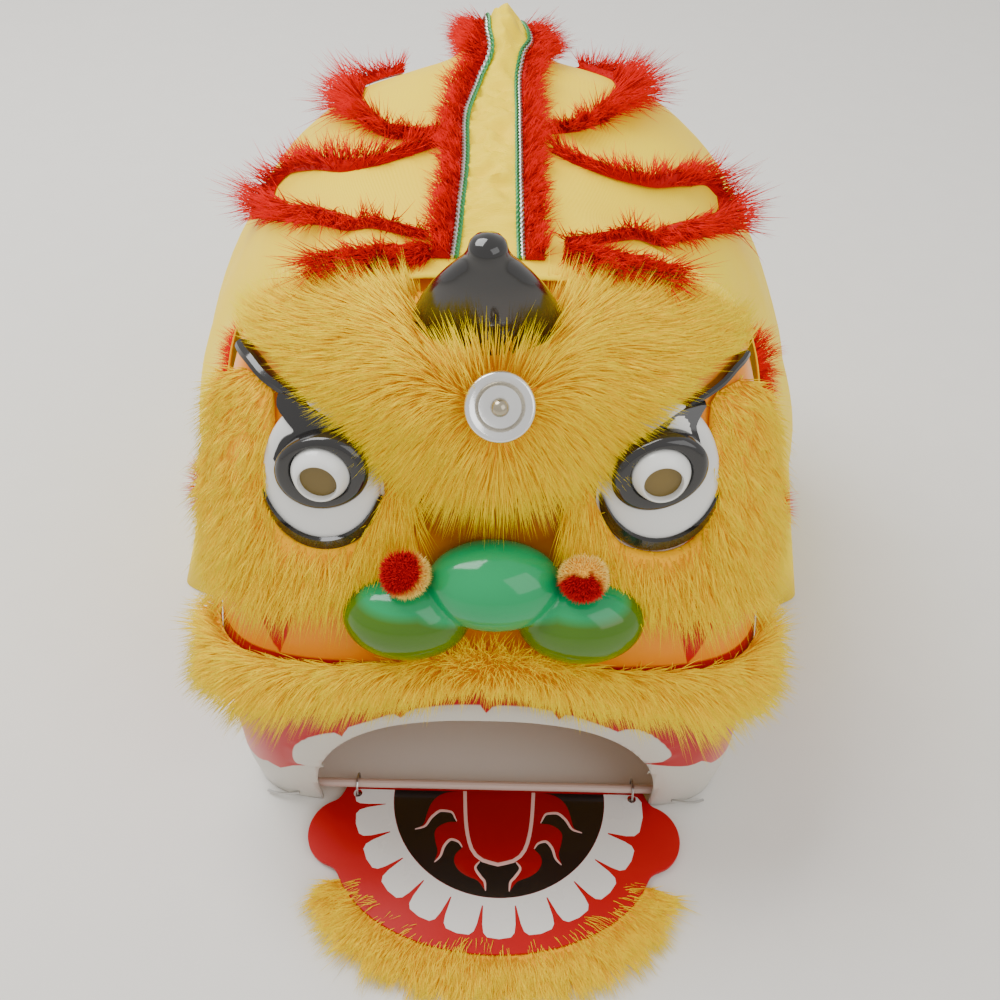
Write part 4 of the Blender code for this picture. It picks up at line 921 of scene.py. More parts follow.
mask_fur("brow_fur", BROW_LINE, 60, 18, 0.0075, brow_comb, brow_cover, brow_long,
         14500, 3, length=0.023, tuft_pull=0.34, tuft_size=0.008, droop=0.10, stray=0.20, wave_depth=0.004,
         strand_width=0.00033)
for cheek_name, cheek_table, cheek_side in (("left", CHEEK_LEFT, -1), ("right", CHEEK_RIGHT, 1)):
    mask_fur("cheek_fur_" + cheek_name, cheek_table, 44, 16, 0.0045,
             lambda u, v, seat: ((0.22 - 0.75 * max(0.0, cheek_side * u - 0.25)
                                  - 0.35 * max(0.0, -cheek_side * u - 0.7) / 0.3) * cheek_side,
                                 -1.0 + 1.9 * max(0.0, v - 0.7) / 0.3 * max(0.0, cheek_side * u - 0.1), 0.34),
             lambda u, v, seat: 1.0,
             lambda u, v, seat: (0.85 + 0.60 * (1 - v) * (1 - max(0.0, cheek_side * u)))
             * (1 - 0.45 * math.exp(-((cheek_side * u - 0.28) / 0.30) ** 2) * min(1.0, 1.6 * v)),
             7300, 11 + cheek_side, length=0.022, tuft_pull=0.60, tuft_size=0.010, droop=0.15, stray=0.30,
             strand_width=0.00033)


def moustache_comb(u, v, seat):
    """Out to the ends, down over the lip, and up over the nose in the middle."""
    middle = math.exp(-(u / 0.25) ** 2)
    rise = -0.85 + (0.45 + 2.6 * max(0.0, v - 0.35)) * middle
    end = 1 - 0.8 * max(0.0, -u - 0.7) / 0.3
    rise += 1.1 * max(0.0, v - 0.7) / 0.3 * min(1.0, abs(u) * 2)
    return 0.85 * math.tanh(u / 0.5) * end, rise, 0.55 + 0.5 * middle * v


def moustache_long(u, v, seat):
    """Longer towards the ends, in a lock on each side of the mouth, and over the nose."""
    lock = math.exp(-((abs(seat.x) - 0.108) / 0.012) ** 2) * (1 - v)
    tip = 0.35 * max(0.0, u - 0.85) / 0.15 - 0.25 * max(0.0, -u - 0.85) / 0.15
    middle = math.exp(-(u / 0.22) ** 2)
    return 0.95 + 0.20 * min(1.0, abs(u) * 1.6) + 0.45 * lock + 1.5 * middle * (v - 0.5) + tip


mask_fur("moustache_fur", MOUSTACHE_LINE, 70, 14, 0.0085, moustache_comb,
         lambda u, v, seat: 1.0, moustache_long, 11500, 21,
         length=0.022, tuft_pull=0.45, tuft_size=0.010, droop=0.25, stray=0.32, strand_width=0.00033)

# The red fur on the hood: a column beside each braid, two leaf-shaped loops and a patch before them on
# each side, and tufts on the hood's sides. Each is a strip of long red pile sewn to the satin.
LEAF_WIDTH = 0.0095
CREST_WIDTH = 0.010
# Columns: share of the hood's half width, share of the run from its front edge to its peak
LEAVES = {
    "left_back": ((-0.130, 0.60), (-0.20, 0.61), (-0.27, 0.64), (-0.31, 0.69), (-0.37, 0.82), (-0.42, 0.99),
                  (-0.42, 1.12), (-0.36, 1.19), (-0.30, 1.23)),
    "left_middle": ((-0.140, 0.56), (-0.22, 0.53), (-0.29, 0.52), (-0.39, 0.55), (-0.50, 0.66), (-0.60, 0.77),
                    (-0.655, 0.77), (-0.655, 0.68), (-0.59, 0.54), (-0.49, 0.41), (-0.38, 0.29),
                    (-0.26, 0.17), (-0.165, 0.11)),
    "left_front": ((-0.155, 0.036), (-0.22, 0.026), (-0.29, 0.018), (-0.36, 0.018), (-0.41, 0.026)),
    "right_back": ((0.130, 0.62), (0.19, 0.66), (0.265, 0.76), (0.31, 0.88), (0.35, 1.02), (0.34, 1.12),
                   (0.28, 1.18), (0.23, 1.20)),
    "right_middle": ((0.140, 0.52), (0.21, 0.48), (0.28, 0.47), (0.38, 0.50), (0.49, 0.61), (0.58, 0.73),
                     (0.635, 0.73), (0.635, 0.64), (0.57, 0.50), (0.47, 0.36), (0.38, 0.25), (0.28, 0.15),
                     (0.165, 0.09)),
    "right_front": ((0.160, 0.050), (0.22, 0.036), (0.29, 0.024), (0.36, 0.018), (0.41, 0.012)),
}


def smooth_path(points, count):
    """Evenly shared points along a curve through a few."""
    table = [(index / (len(points) - 1), point[0], point[1]) for index, point in enumerate(points)]
    fine = [(between(table, step / 200, 1), between(table, step / 200, 2)) for step in range(201)]
    lengths = [0.0]
    for near, far in zip(fine, fine[1:]):
        lengths.append(lengths[-1] + math.dist(near, far))
    path = []
    for index in range(count):
        wanted = lengths[-1] * index / (count - 1)
        step = min(range(201), key=lambda k: abs(lengths[k] - wanted))
        path.append(fine[step])
    return path


def hood_fur(name, centres, widths, height, comb_at, long_at, strands, seed, **sizes):
    """Red fur on a strip that lies on the hood along places on the floor."""
    inner, outer, comb, cover, long = [], [], [], [], []
    count = len(centres)
    for index, (x, y) in enumerate(centres):
        before, after = centres[max(index - 1, 0)], centres[min(index + 1, count - 1)]
        run = Vector((after[0] - before[0], after[1] - before[1], 0)).normalized()
        aside = Vector((run.y, -run.x, 0))
        for step in range(5):
            across = step / 2 - 1
            spot = Vector((x, y, 0)) + aside * (across * widths[index] / 2)
            seat, out = hood_top(spot.x, spot.y), surface_out(hood_top, spot.x, spot.y, 0.002)
            inner.append(seat + out * 0.0004)
            outer.append(seat + out * (0.0012 + height * (1 - across ** 2)))
            flat, lift = comb_at(index / (count - 1), across, spot)
            flat = flat - out * flat.dot(out)
            comb.append((flat + out * lift).normalized())
            cover.append(1.0)
            uneven = 0.55 + 1.1 * abs(noise.noise(spot * 90))
            long.append(long_at(index / (count - 1), across) * uneven)
    return grow_pile(name + "_pile", inner, outer, 5, comb, cover, long, red_pile, [name],
                     "red_fur", strands, seed, **sizes)


for crest_name, crest_side in (("left", -1), ("right", 1)):
    crest_steps = [index / 40 for index in range(41)]
    crest_beside = 0.0042 + 0.5 * CREST_WIDTH
    hood_fur("crest_fur_" + crest_name, [band_edge(s, crest_side, crest_beside) for s in crest_steps],
             [CREST_WIDTH] * 41, 0.004,
             lambda share, across, spot: (Vector((crest_side * 0.75, 0.25, 0)), 0.9),
             lambda share, across: 0.85 + 0.55 * share ** 3, 3000, 31 + crest_side,
             length=0.0165, stray=0.50, tuft_pull=0.55, tuft_size=0.008, droop=0.05, strand_width=0.00028)
for leaf_seed, (leaf_name, leaf_shares) in enumerate(LEAVES.items()):
    leaf_run = HOOD_PEAK_Y - HOOD_FRONT_Y
    leaf_points = [(x * HOOD_WIDTH / 2, HOOD_FRONT_Y + y * leaf_run) for x, y in leaf_shares]
    leaf_count = 5 * len(leaf_points)
    leaf_path = smooth_path(leaf_points, leaf_count)
    leaf_middle = Vector((sum(p[0] for p in leaf_path), sum(p[1] for p in leaf_path), 0)) / leaf_count
    leaf_tip = max(abs(p[0]) for p in leaf_path)
    leaf_side = math.copysign(1.0, leaf_path[0][0])
    leaf_tips = [math.exp(-((leaf_tip - abs(p[0])) / 0.012) ** 2) for p in leaf_path]

    def leaf_comb(share, across, spot):
        """Away from the leaf's middle, straight on out at its tip, and forward on the front patches."""
        if "front" in leaf_name:
            return Vector((leaf_side * 0.35, -1.0, 0)), 0.40
        away = (spot - leaf_middle).normalized()
        tip = math.exp(-((leaf_tip - abs(spot.x)) / 0.015) ** 2)
        return away * (1 - 0.5 * tip) + Vector((leaf_side * 1.1 * tip, 0.5 * tip, 0)), 0.75

    leaf_wide = LEAF_WIDTH * (2.3 if "front" in leaf_name else 1.0)
    leaf_widths = [leaf_wide * (1 - 0.45 * abs(2 * i / (leaf_count - 1) - 1) ** 3) for i in range(leaf_count)]
    hood_fur("leaf_fur_" + leaf_name, leaf_path, leaf_widths, 0.004, leaf_comb,
             lambda share, across: 1.0 + 1.0 * leaf_tips[round(share * (leaf_count - 1))],
             1400 if "front" in leaf_name else 1700, 41 + leaf_seed,
             length=0.0185, stray=0.50, tuft_pull=0.75, tuft_size=0.010, droop=0.0, strand_width=0.00033)

# Columns: side, distance back from the hood's edge, height, radius, how far it stands out
TUFTS = {
    "side_tuft_left_upper": (-1, 0.042, 0.237, 0.016, 0.005),
    "side_tuft_left_lower": (-1, 0.044, 0.120, 0.018, 0.006),
    "side_patch_right": (1, 0.044, 0.235, 0.022, 0.006),
    "side_pompom_right": (1, 0.040, 0.118, 0.018, 0.010),
}
for tuft_seed, (tuft_name, (side, back, high, radius, stand)) in enumerate(TUFTS.items()):
    inner, outer, comb, cover, long = [], [], [], [], []
    for ring in range(7):
        for index in range(24):
            turn, share = 2 * math.pi * index / 24, ring / 6
            y = HOOD_FRONT_Y + back + radius * share * math.cos(turn)
            z = high + radius * share * math.sin(turn)
            seat = hood_side(y, z, side)
            out = (hood_side(y + 0.002, z, side) - hood_side(y - 0.002, z, side)).cross(
                hood_side(y, z + 0.002, side) - hood_side(y, z - 0.002, side)).normalized() * side
            inner.append(seat + out * 0.0008)
            outer.append(seat + out * (0.0012 + stand * math.sqrt(max(0.0, 1 - share ** 2))))
            away = Vector((0, math.cos(turn), math.sin(turn)))
            comb.append((away * share + out * 0.9 + Vector((0, -0.35, 0.45))).normalized())
            cover.append(1.0)
            long.append(1.0)
    grow_pile(tuft_name + "_pile", inner, outer, 24, comb, cover, long, red_pile, [tuft_name], "red_fur",
              1000, 61 + tuft_seed, around=True, length=0.018, stray=0.4, tuft_pull=0.4, tuft_size=0.007,
              droop=0.05, strand_width=0.00026)

# The braids: flat plaited cords, green on the side of the band and silver outside, stitched along it.
BRAID_WIDTH = 0.0042
BRAID_PITCH = 0.0075
braid_green = solid_material("braid_green", (0.035, 0.26, 0.075), 0.38, patch=0.5, metallic=0.25)
braid_silver = solid_material("braid_silver", (0.55, 0.56, 0.52), 0.35, patch=0.6, metallic=0.8)
for braid_name, braid_side in (("left", -1), ("right", 1)):
    braid_points, braid_faces, braid_slots = [], [], []
    braid_count = 440
    braid_length = 0.0
    braid_line = []
    for index in range(braid_count + 1):
        x, y = band_edge(index / braid_count, braid_side, BRAID_WIDTH / 2)
        braid_line.append(hood_top(x, y))
    for index in range(braid_count):
        braid_length += (braid_line[index + 1] - braid_line[index]).length
    for strand in range(4):
        start = len(braid_points)
        for index, spot in enumerate(braid_line):
            after = braid_line[min(index + 1, braid_count)]
            before = braid_line[max(index - 1, 0)]
            run = (after - before).normalized()
            out = surface_out(hood_top, spot.x, spot.y, 0.003) if index % 8 == 0 else out
            aside = run.cross(out).normalized() * braid_side
            phase = 2 * math.pi * (index / braid_count * braid_length / BRAID_PITCH + strand % 2 / 2)
            lane = -0.25 if strand < 2 else 0.25
            middle = spot + aside * BRAID_WIDTH * (lane + 0.17 * math.sin(phase))
            middle += out * (0.0014 + 0.0006 * math.cos(phase))
            for corner in range(5):
                turn = 2 * math.pi * corner / 5
                braid_points.append(middle + aside * 0.00078 * math.cos(turn) + out * 0.0007 * math.sin(turn))
        strand_faces = grid_faces(braid_count + 1, 5, True, start)
        strand_faces += [tuple(range(start, start + 5)),
                         tuple(range(start + braid_count * 5, start + braid_count * 5 + 5))]
        braid_faces += strand_faces
        braid_slots += [0 if strand < 2 else 1] * len(strand_faces)
    braid = add_piece("braid_" + braid_name + "_cord", braid_points, braid_faces, braid_green)
    braid.data.materials.append(braid_silver)
    braid.data.polygons.foreach_set("material_index", braid_slots)
    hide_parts("braid_" + braid_name)


def turned_piece(name, profile, centre, axis, sides, material, squash=(1.0, 1.0, 1.0), seat_gap=None):
    """A closed shape turned about an axis; with a seat gap, its back is flattened onto the mask. squash
    gives its half width, upper half height and lower half height; a third column of profile moves a
    ring down."""
    axis = Vector(axis).normalized()
    across = axis.cross(Vector((0, 0, 1))).normalized()
    along = across.cross(axis)
    points = []
    for radius, height, *drop in profile:
        for index in range(sides):
            turn = 2 * math.pi * index / sides
            tall = squash[1] if math.sin(turn) > 0 else squash[2]
            spoke = across * math.cos(turn) * squash[0] + along * math.sin(turn) * tall
            spot = Vector(centre) + axis * height + spoke * radius - along * sum(drop)
            points.append(on_mask(spot, seat_gap))
    return add_piece(name, points, grid_faces(len(profile), sides, True), material)


def on_mask(point, gap):
    """A point, brought forward to the mask where it would lie behind it."""
    if gap is None or not 0 < point.z < 0.33:
        return point
    front = mask_front(point.x, point.z).y - gap
    return Vector((point.x, min(point.y, front), point.z))


# The nose: one glossy teal-green moulding, a round bulb between two lobes, with a wool pompom stuck
# in each corner between them. The left pompom is red with a cream edge, the right one half and half.
NOSE_WIDTH = 0.155
NOSE_Z = 0.208
NOSE_X = 0.003
LOBE_Z = 0.187
LOBE_OUT = 0.3 * NOSE_WIDTH
BULB_RADII = (0.235 * NOSE_WIDTH, 0.024, 0.0255)
LOBE_RADII = (0.222 * NOSE_WIDTH, 0.023, 0.0245)
POMPOM_RADIUS = 0.0135
nose_forms = [(mask_front(NOSE_X, NOSE_Z) + Vector((0, -0.012, 0)), BULB_RADII)]
for side in (-1, 1):
    nose_forms.append((mask_front(NOSE_X + side * LOBE_OUT, LOBE_Z) + Vector((0, -0.010, 0)), LOBE_RADII))


def nose_color_and_reflection(tree):
    """Teal-green lacquer with a painted olive reflection of the yellow moustache on its underside."""
    place = add_node(tree, "ShaderNodeTexCoord").outputs["Object"]
    spread = add_node(tree, "ShaderNodeSeparateXYZ", {0: place})
    aside = add_node(tree, "ShaderNodeMapRange", {
        0: math_node(tree, "ABSOLUTE", spread.outputs["X"]), 1: 0.016, 2: 0.036, 4: 0.009}).outputs[0]
    height = math_node(tree, "SUBTRACT", spread.outputs["Z"], aside)
    share = add_node(tree, "ShaderNodeMapRange", {0: height, 1: 0.197, 2: 0.193}).outputs[0]
    return blend_colors(tree, share, (0.0, 0.32, 0.10), (0.055, 0.15, 0.0))


nose_lacquer = solid_material("nose_lacquer", nose_color_and_reflection, 0.12, patch=0.10, grain=0.02, spread=0.05,
                              coat=0.15, gloss=0.4)
nose_mesh = bmesh.new()
for centre, radii in nose_forms:
    form = bmesh.ops.create_uvsphere(nose_mesh, u_segments=40, v_segments=24, radius=1.0)
    for vert in form["verts"]:
        vert.co = centre + LIP + Vector([value * radius for value, radius in zip(vert.co, radii)])
nose_data = bpy.data.meshes.new("nose_lobes")
nose_mesh.to_mesh(nose_data)
nose_mesh.free()
nose_lobes = bpy.data.objects.new("nose_lobes", nose_data)
bpy.context.scene.collection.objects.link(nose_lobes)
nose_weld = nose_lobes.modifiers.new("weld", "REMESH")
nose_weld.mode = "VOXEL"
nose_weld.voxel_size = 0.0014
nose_ease = nose_lobes.modifiers.new("ease", "SMOOTH")
nose_ease.factor = 0.5
nose_ease.iterations = 12
graph = bpy.context.evaluated_depsgraph_get()
nose_data = bpy.data.meshes.new_from_object(nose_lobes.evaluated_get(graph), depsgraph=graph)
nose_lobes.modifiers.clear()
nose_lobes.data = nose_data
for vert in nose_data.vertices:
    vert.co = on_mask(vert.co - LIP, 0.0003) + LIP
nose_data.shade_smooth()
nose_data.materials.clear()
nose_data.materials.append(nose_lacquer)
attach(nose_lobes, "head")
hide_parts("nose")

pompom_pile = pile_material("pompom_pile", (0.34, 0.002, 0.004), (0.62, 0.004, 0.010), (0.70, 0.02, 0.02),
                            0.06, second=((0.90, 0.50, 0.04), (1.0, 0.68, 0.12), (1.0, 0.78, 0.22)))
# Columns: sideways and upward place of the cream's lower edge on the right pompom, as shares of its radius
CREAM_EDGE = ((-1.0, -0.15), (-0.58, 0.20), (-0.20, 0.15), (0.05, 0.04), (0.22, 0.30), (0.55, 0.05),
              (0.80, -0.40), (1.0, -0.80))
for side_name, side in (("left", -1), ("right", 1)):
    centre = mask_front(NOSE_X + side * 0.98 * LOBE_OUT, NOSE_Z + 0.010) + Vector((0, -0.022, 0.006))
    inner, outer, comb, cover, cream = [], [], [], [], []
    for ring in range(17):
        for index in range(32):
            tilt, turn = math.pi * ring / 16, 2 * math.pi * index / 32
            way = Vector((math.sin(tilt) * math.cos(turn), math.sin(tilt) * math.sin(turn), math.cos(tilt)))
            inner.append(on_mask(centre + way * 0.006, 0.0003))
            outer.append(on_mask(centre + way * (POMPOM_RADIUS - 0.0028), 0.0003))
            comb.append(way)
            cover.append(1.0 if way.y < 0.45 else 0.0)
            rise = 0.7 * (way.y + way.z)
            if side < 0:
                edge = math.hypot(way.x + 0.25, rise - 0.12) - 1.0
            else:
                edge = rise - between(CREAM_EDGE, way.x, 1)
            cream.append(min(max(edge / 0.08 + 0.5, 0.0), 1.0))
    grow_pile("nose_pompom_" + side_name + "_wool", inner, outer, 32, comb, cover, [1.0] * len(comb),
              pompom_pile, ["nose_pompom_" + side_name], "pompom_wool", 2000, 71 + side, around=True,
              extra=[("second", cream)], length=0.0038, stray=0.35, tuft_pull=0.25, tuft_size=0.002,
              wave_depth=0.0006, droop=0.0, strand_width=0.00022)

# The eyes: a white moulded bulge with a black crescent below it, a black strip along the brow, and a
# black lid ring with a curled flap round a deep white cup. In the cup an olive disc is painted shade for the
# dark hollow behind the eye's hole.
EYE_SPREAD = 0.087
EYE_WIDTH = 0.062
EYE_UPPER = 0.046
EYE_LOWER = 0.035
EYE_BULGE = 0.0085
CUP_RISE = 0.0135
CUP_SHIFT = 0.0030
LID_RADIUS = 0.0230
CUP_RADIUS = 0.0155
SEAT_GAP = 0.0005
STRIP_FROM = 24.0
STRIP_TO = 62.0
# Columns: turn from the nose line in degrees, height share of the strip's upper edge
STRIP_LINE = (
    (24.0, 0.812), (29.0, 0.838), (35.0, 0.864), (40.0, 0.880), (46.5, 0.889), (55.0, 0.896), (62.0, 0.896),
)
STRIP_THICK = 0.008
# The lid's flap, as places on the mask's front: its upper edge from the nose side, then its lower edge
LID_PLATES = {
    "left": smooth_loop([
        (-0.0648, 0.2703), (-0.0681, 0.2792), (-0.0735, 0.2865), (-0.0808, 0.2905), (-0.0878, 0.2934),
        (-0.0950, 0.2955), (-0.1052, 0.2978), (-0.1071, 0.2924), (-0.1018, 0.2866), (-0.0985, 0.2830),
        (-0.1040, 0.2791), (-0.1075, 0.2740), (-0.1085, 0.2660), (-0.0870, 0.2640)], 3),
    "right": smooth_loop([
        (0.0636, 0.2704), (0.0689, 0.2799), (0.0808, 0.2892), (0.0904, 0.2949), (0.0979, 0.2968),
        (0.1062, 0.2967), (0.1048, 0.2942), (0.1018, 0.2890), (0.1041, 0.2826), (0.1058, 0.2753),
        (0.1055, 0.2679), (0.0870, 0.2640)], 3),
}
eye_white_paint = solid_material("eye_white_paint", (0.74, 0.74, 0.71), 0.22, patch=0.08, grain=0.05,
                                 coat=0.2)
eye_black = solid_material("eye_black_gloss", (0.012, 0.011, 0.011), 0.10, patch=0.3, grain=0.04, coat=0.4)
pupil_painted_shade = solid_material("pupil_painted_shade", (0.16, 0.105, 0.018), 0.30, patch=0.5, grain=0.05)
for side_name, side, eye_z in (("left", -1, 0.252), ("right", 1, 0.2555)):
    seat = mask_front(side * EYE_SPREAD, eye_z)
    facing = Vector((0.10 * side, -1.0, 0.34)).normalized()
    eye_x = facing.cross(Vector((0, 0, 1))).normalized()
    eye_z_axis = eye_x.cross(facing)
    bulge = [(math.sin(math.pi / 2 * step / 12), EYE_BULGE * math.cos(math.pi / 2 * step / 12))
             for step in range(13)]
    bulge += [(1.0, -0.02), (0.0, -0.02)]
    white = turned_piece("eye_white_" + side_name + "_bulge", bulge, seat, facing, 56, eye_white_paint,
                         (EYE_WIDTH / 2, EYE_UPPER, EYE_LOWER), 0.0003)
    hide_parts("eye_white_" + side_name)

    crescent_points = []
    for step in range(49):
        share = step / 48
        turn = math.radians(-176 + 172 * share)
        wide = math.sin(math.pi * share) ** 0.6
        for reach, high in ((1.0 - 0.20 * wide, 0.0005), (1.0 - 0.16 * wide, 0.0026),
                            (1.02, 0.0034 * wide + 0.001), (1.02 + 0.07 * wide, 0.0006), (1.02, -0.004)):
            dome = EYE_BULGE * math.sqrt(max(0.0, 1 - min(reach, 1.0) ** 2))
            spot = seat + eye_x * (math.cos(turn) * reach * EYE_WIDTH / 2)
            spot += eye_z_axis * (math.sin(turn) * reach * EYE_LOWER)
            spot += facing * (dome + high)
            crescent_points.append(on_mask(spot, 0.0002))
    crescent_faces = grid_faces(49, 5, True) + [(0, 1, 2, 3, 4), tuple(range(48 * 5, 48 * 5 + 5))]
    crescent = add_piece("eye_crescent_" + side_name, crescent_points, crescent_faces, eye_black, sharp=25.0)

    ring_centre = seat + eye_z_axis * CUP_RISE + eye_x * (side * CUP_SHIFT) + facing * (EYE_BULGE + SEAT_GAP)
    facing = Vector((0.10 * side, -1.0, 0.15)).normalized()
    eye_x = facing.cross(Vector((0, 0, 1))).normalized()
    eye_z_axis = eye_x.cross(facing)
    ring_points = []
    ring_rows = ((CUP_RADIUS, -0.006), (LID_RADIUS - 0.001, -0.006), (LID_RADIUS, 0.0028),
                 (LID_RADIUS - 0.0006, 0.0042), (LID_RADIUS - 0.0022, 0.0056), (LID_RADIUS - 0.0036, 0.0060),
                 (CUP_RADIUS + 0.0006, 0.0058), (CUP_RADIUS, 0.0050), (CUP_RADIUS, -0.006))
    for radius, high in ring_rows:
        for index in range(72):
            turn = 2 * math.pi * index / 72
            flap = 1 + 0.08 * math.sin(turn * 2 + 0.6) - 0.05 * math.sin(turn)
            spread = radius * (flap if radius > CUP_RADIUS + 0.001 else 1.0)
            spoke = eye_z_axis * math.sin(turn) - eye_x * math.cos(turn)
            ring_points.append(ring_centre + facing * high + spoke * spread)
    lid = add_piece("eye_lid_" + side_name + "_ring", ring_points, grid_faces(len(ring_rows), 72, True),
                    eye_black, sharp=30.0)
    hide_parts("eye_lid_" + side_name)

    cup_wall = CUP_RADIUS - SEAT_GAP
    cup_rows = [(0.0, 0.0), (cup_wall, 0.0), (cup_wall, 0.0050), (cup_wall - 0.0004, 0.0064, 0.0002),
                (0.0136, 0.0084, 0.0005), (0.0124, 0.0102, 0.0009), (0.0113, 0.0114, 0.0013),
                (0.0105, 0.0118, 0.0015), (0.0100, 0.0116, 0.0015), (0.0097, 0.0108, 0.0015),
                (0.0096, 0.0078, 0.0015), (0.0, 0.0078, 0.0015)]
    cup = turned_piece("eye_cup_" + side_name + "_well", cup_rows, ring_centre, facing, 56, eye_white_paint)
    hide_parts("eye_cup_" + side_name)
    # The olive pupil disc is painted shade: it stands for the dark inside seen through the eye's hole.
    pupil_points, pupil_steps = [], 40
    for high in (0.0079, 0.0083):
        for index in range(pupil_steps):
            turn = 2 * math.pi * index / pupil_steps
            spoke = eye_x * math.cos(turn) * 0.0095 + eye_z_axis * (math.sin(turn) * 0.0095 - 0.0015)
            pupil_points.append(ring_centre + facing * high + spoke)
    pupil_faces = grid_faces(2, pupil_steps, True)
    pupil_faces += [tuple(range(pupil_steps)), tuple(range(pupil_steps, 2 * pupil_steps))]
    pupil = add_piece("eye_pupil_" + side_name, pupil_points, pupil_faces, pupil_painted_shade, sharp=30.0)

    plate_flat = [Vector((x, z, 0.0)) for x, z in LID_PLATES[side_name]]
    plate_front = [mask_front(x, z, 0.010) for x, z in LID_PLATES[side_name]]
    plate_back = [point + Vector((0, 0.0035, 0)) for point in plate_front]
    plate_count = len(plate_flat)
    plate_faces = [tuple(face) for face in tessellate_polygon([plate_flat])]
    plate_faces += [tuple(index + plate_count for index in face[::-1]) for face in plate_faces]
    plate_faces += [(k, (k + 1) % plate_count, plate_count + (k + 1) % plate_count, plate_count + k)
                    for k in range(plate_count)]
    plate = add_piece("eye_lid_" + side_name + "_flap", plate_front + plate_back, plate_faces, eye_black,
                      sharp=30.0)

    strip_inner, strip_outer = [], []
    strip_tall = 0.0046 if side < 0 else 0.0030
    for step in range(45):
        degrees = side * (STRIP_FROM + (STRIP_TO - STRIP_FROM) * step / 44)
        edge = between(STRIP_LINE, abs(degrees), 1)
        out = surface_out(mask_at, math.radians(degrees), edge)
        taper = 0.25 + 0.75 * math.sin(math.pi * min(1.0, 0.1 + step / 30) / 2)
        for drop, thick in ((-0.15, 0.35), (0.1, 0.9), (0.5, 1.0), (0.9, 0.9), (1.12, 0.35)):
            base = mask_at(math.radians(degrees), edge - drop * taper * strip_tall / MASK_HEIGHT)
            strip_inner.append(base + out * 0.0008)
            strip_outer.append(base + out * STRIP_THICK * thick)
    strip = add_piece("brow_strip_" + side_name + "_edge", strip_inner + strip_outer, slab_faces(45, 5),
                      eye_black, sharp=30.0)
    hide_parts("brow_strip_" + side_name)

# The forehead mirror: a pressed plated disc with a raised rim and a shallow dish, on a short stem
# through the brow fur, with a bead held in its middle.
MIRROR_RADIUS = 0.0173
plated_silver = solid_material("plated_silver", (0.80, 0.80, 0.79), 0.20, patch=0.22, grain=0.10, spread=0.2,
                               metallic=0.9)
bead_brass = solid_material("bead_brass", (0.42, 0.37, 0.27), 0.22, patch=0.5, grain=0.1, metallic=0.9)
mirror_facing = Vector((0.0, -0.80, 0.60)).normalized()
mirror_centre = mask_front(0.004, 0.295) + mirror_facing * (1.30 * FUR_DEPTH)
mirror_rows = [(0.0, -0.0185), (0.0045, -0.0185), (0.0045, -0.0015), (0.86 * MIRROR_RADIUS, -0.0015),
               (0.97 * MIRROR_RADIUS, -0.0009), (MIRROR_RADIUS, 0.0002), (0.995 * MIRROR_RADIUS, 0.0014),
               (0.96 * MIRROR_RADIUS, 0.0023), (0.90 * MIRROR_RADIUS, 0.0027), (0.82 * MIRROR_RADIUS, 0.0024),
               (0.72 * MIRROR_RADIUS, 0.0016), (0.64 * MIRROR_RADIUS, 0.0010), (0.61 * MIRROR_RADIUS, 0.0003),
               (0.58 * MIRROR_RADIUS, 0.0001), (0.30 * MIRROR_RADIUS, 0.0003), (0.0, 0.0004)]
mirror = turned_piece("mirror_disc", mirror_rows, mirror_centre, mirror_facing, 96, plated_silver)
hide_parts("forehead_mirror")
bead_rows = [(0.0, 0.0006), (0.0030, 0.0006)]
for step in range(3, 17):
    turn = math.pi * step / 16
    bead_rows.append((0.0046 * math.sin(turn), 0.0046 * (1 - math.cos(turn)) + 0.0008))
bead = turned_piece("mirror_bead_ball", bead_rows, mirror_centre, mirror_facing, 48, bead_brass)
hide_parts("mirror_bead")

# The horn: one hollow glossy black moulding that rises between the brow and the hood to a round knob.
HORN_WIDTH = 0.086
HORN_TIP_Z = 0.383
HORN_BASE = Vector((HORN_X, 0.077, 0.300))
# Columns: height share, width share of the half base, depth share of it, forward lean share of it
HORN_SECTIONS = (
    (0.00, 1.02, 0.56, 0.00), (0.24, 0.93, 0.50, 0.07), (0.48, 0.77, 0.42, 0.20), (0.68, 0.55, 0.33, 0.34),
    (0.79, 0.38, 0.27, 0.41), (0.855, 0.27, 0.23, 0.45), (0.90, 0.225, 0.22, 0.46), (0.95, 0.20, 0.20, 0.46),
    (0.985, 0.13, 0.13, 0.46), (1.00, 0.0, 0.0, 0.46),
)


def horn_color_and_reflection(tree):
    """Black with a painted brown reflection of the yellow brow fur low down, where the fur lies before it."""
    place = add_node(tree, "ShaderNodeTexCoord").outputs["Object"]
    height = add_node(tree, "ShaderNodeSeparateXYZ", {0: place}).outputs["Z"]
    share = add_node(tree, "ShaderNodeMapRange", {0: height, 1: 0.362, 2: 0.318}).outputs[0]
    return blend_colors(tree, share, (0.010, 0.009, 0.009), (0.030, 0.015, 0.009))


horn_gloss = solid_material("horn_gloss", horn_color_and_reflection, 0.09, patch=0.5, grain=0.05, spread=0.08, coat=0.5)
horn_points, horn_rows = [], 44
for row in range(horn_rows + 1):
    share = row / horn_rows
    if share > 0.9:
        share = 0.9 + 0.1 * math.sin((share - 0.9) / 0.1 * math.pi / 2)
    centre = HORN_BASE + Vector((0, -between(HORN_SECTIONS, share, 3) * HORN_WIDTH / 2,
                                 share * (HORN_TIP_Z - HORN_BASE.z)))
    wide = between(HORN_SECTIONS, share, 1) * HORN_WIDTH / 2
    deep = between(HORN_SECTIONS, share, 2) * HORN_WIDTH / 2
    for index in range(56):
        turn = 2 * math.pi * index / 56
        horn_points.append(centre + Vector((math.cos(turn) * wide, math.sin(turn) * deep, 0)))
horn_faces = grid_faces(horn_rows + 1, 56, True) + [tuple(range(56))]
horn = add_piece("horn_shell", horn_points, horn_faces, horn_gloss, sharp=60.0)
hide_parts("horn")

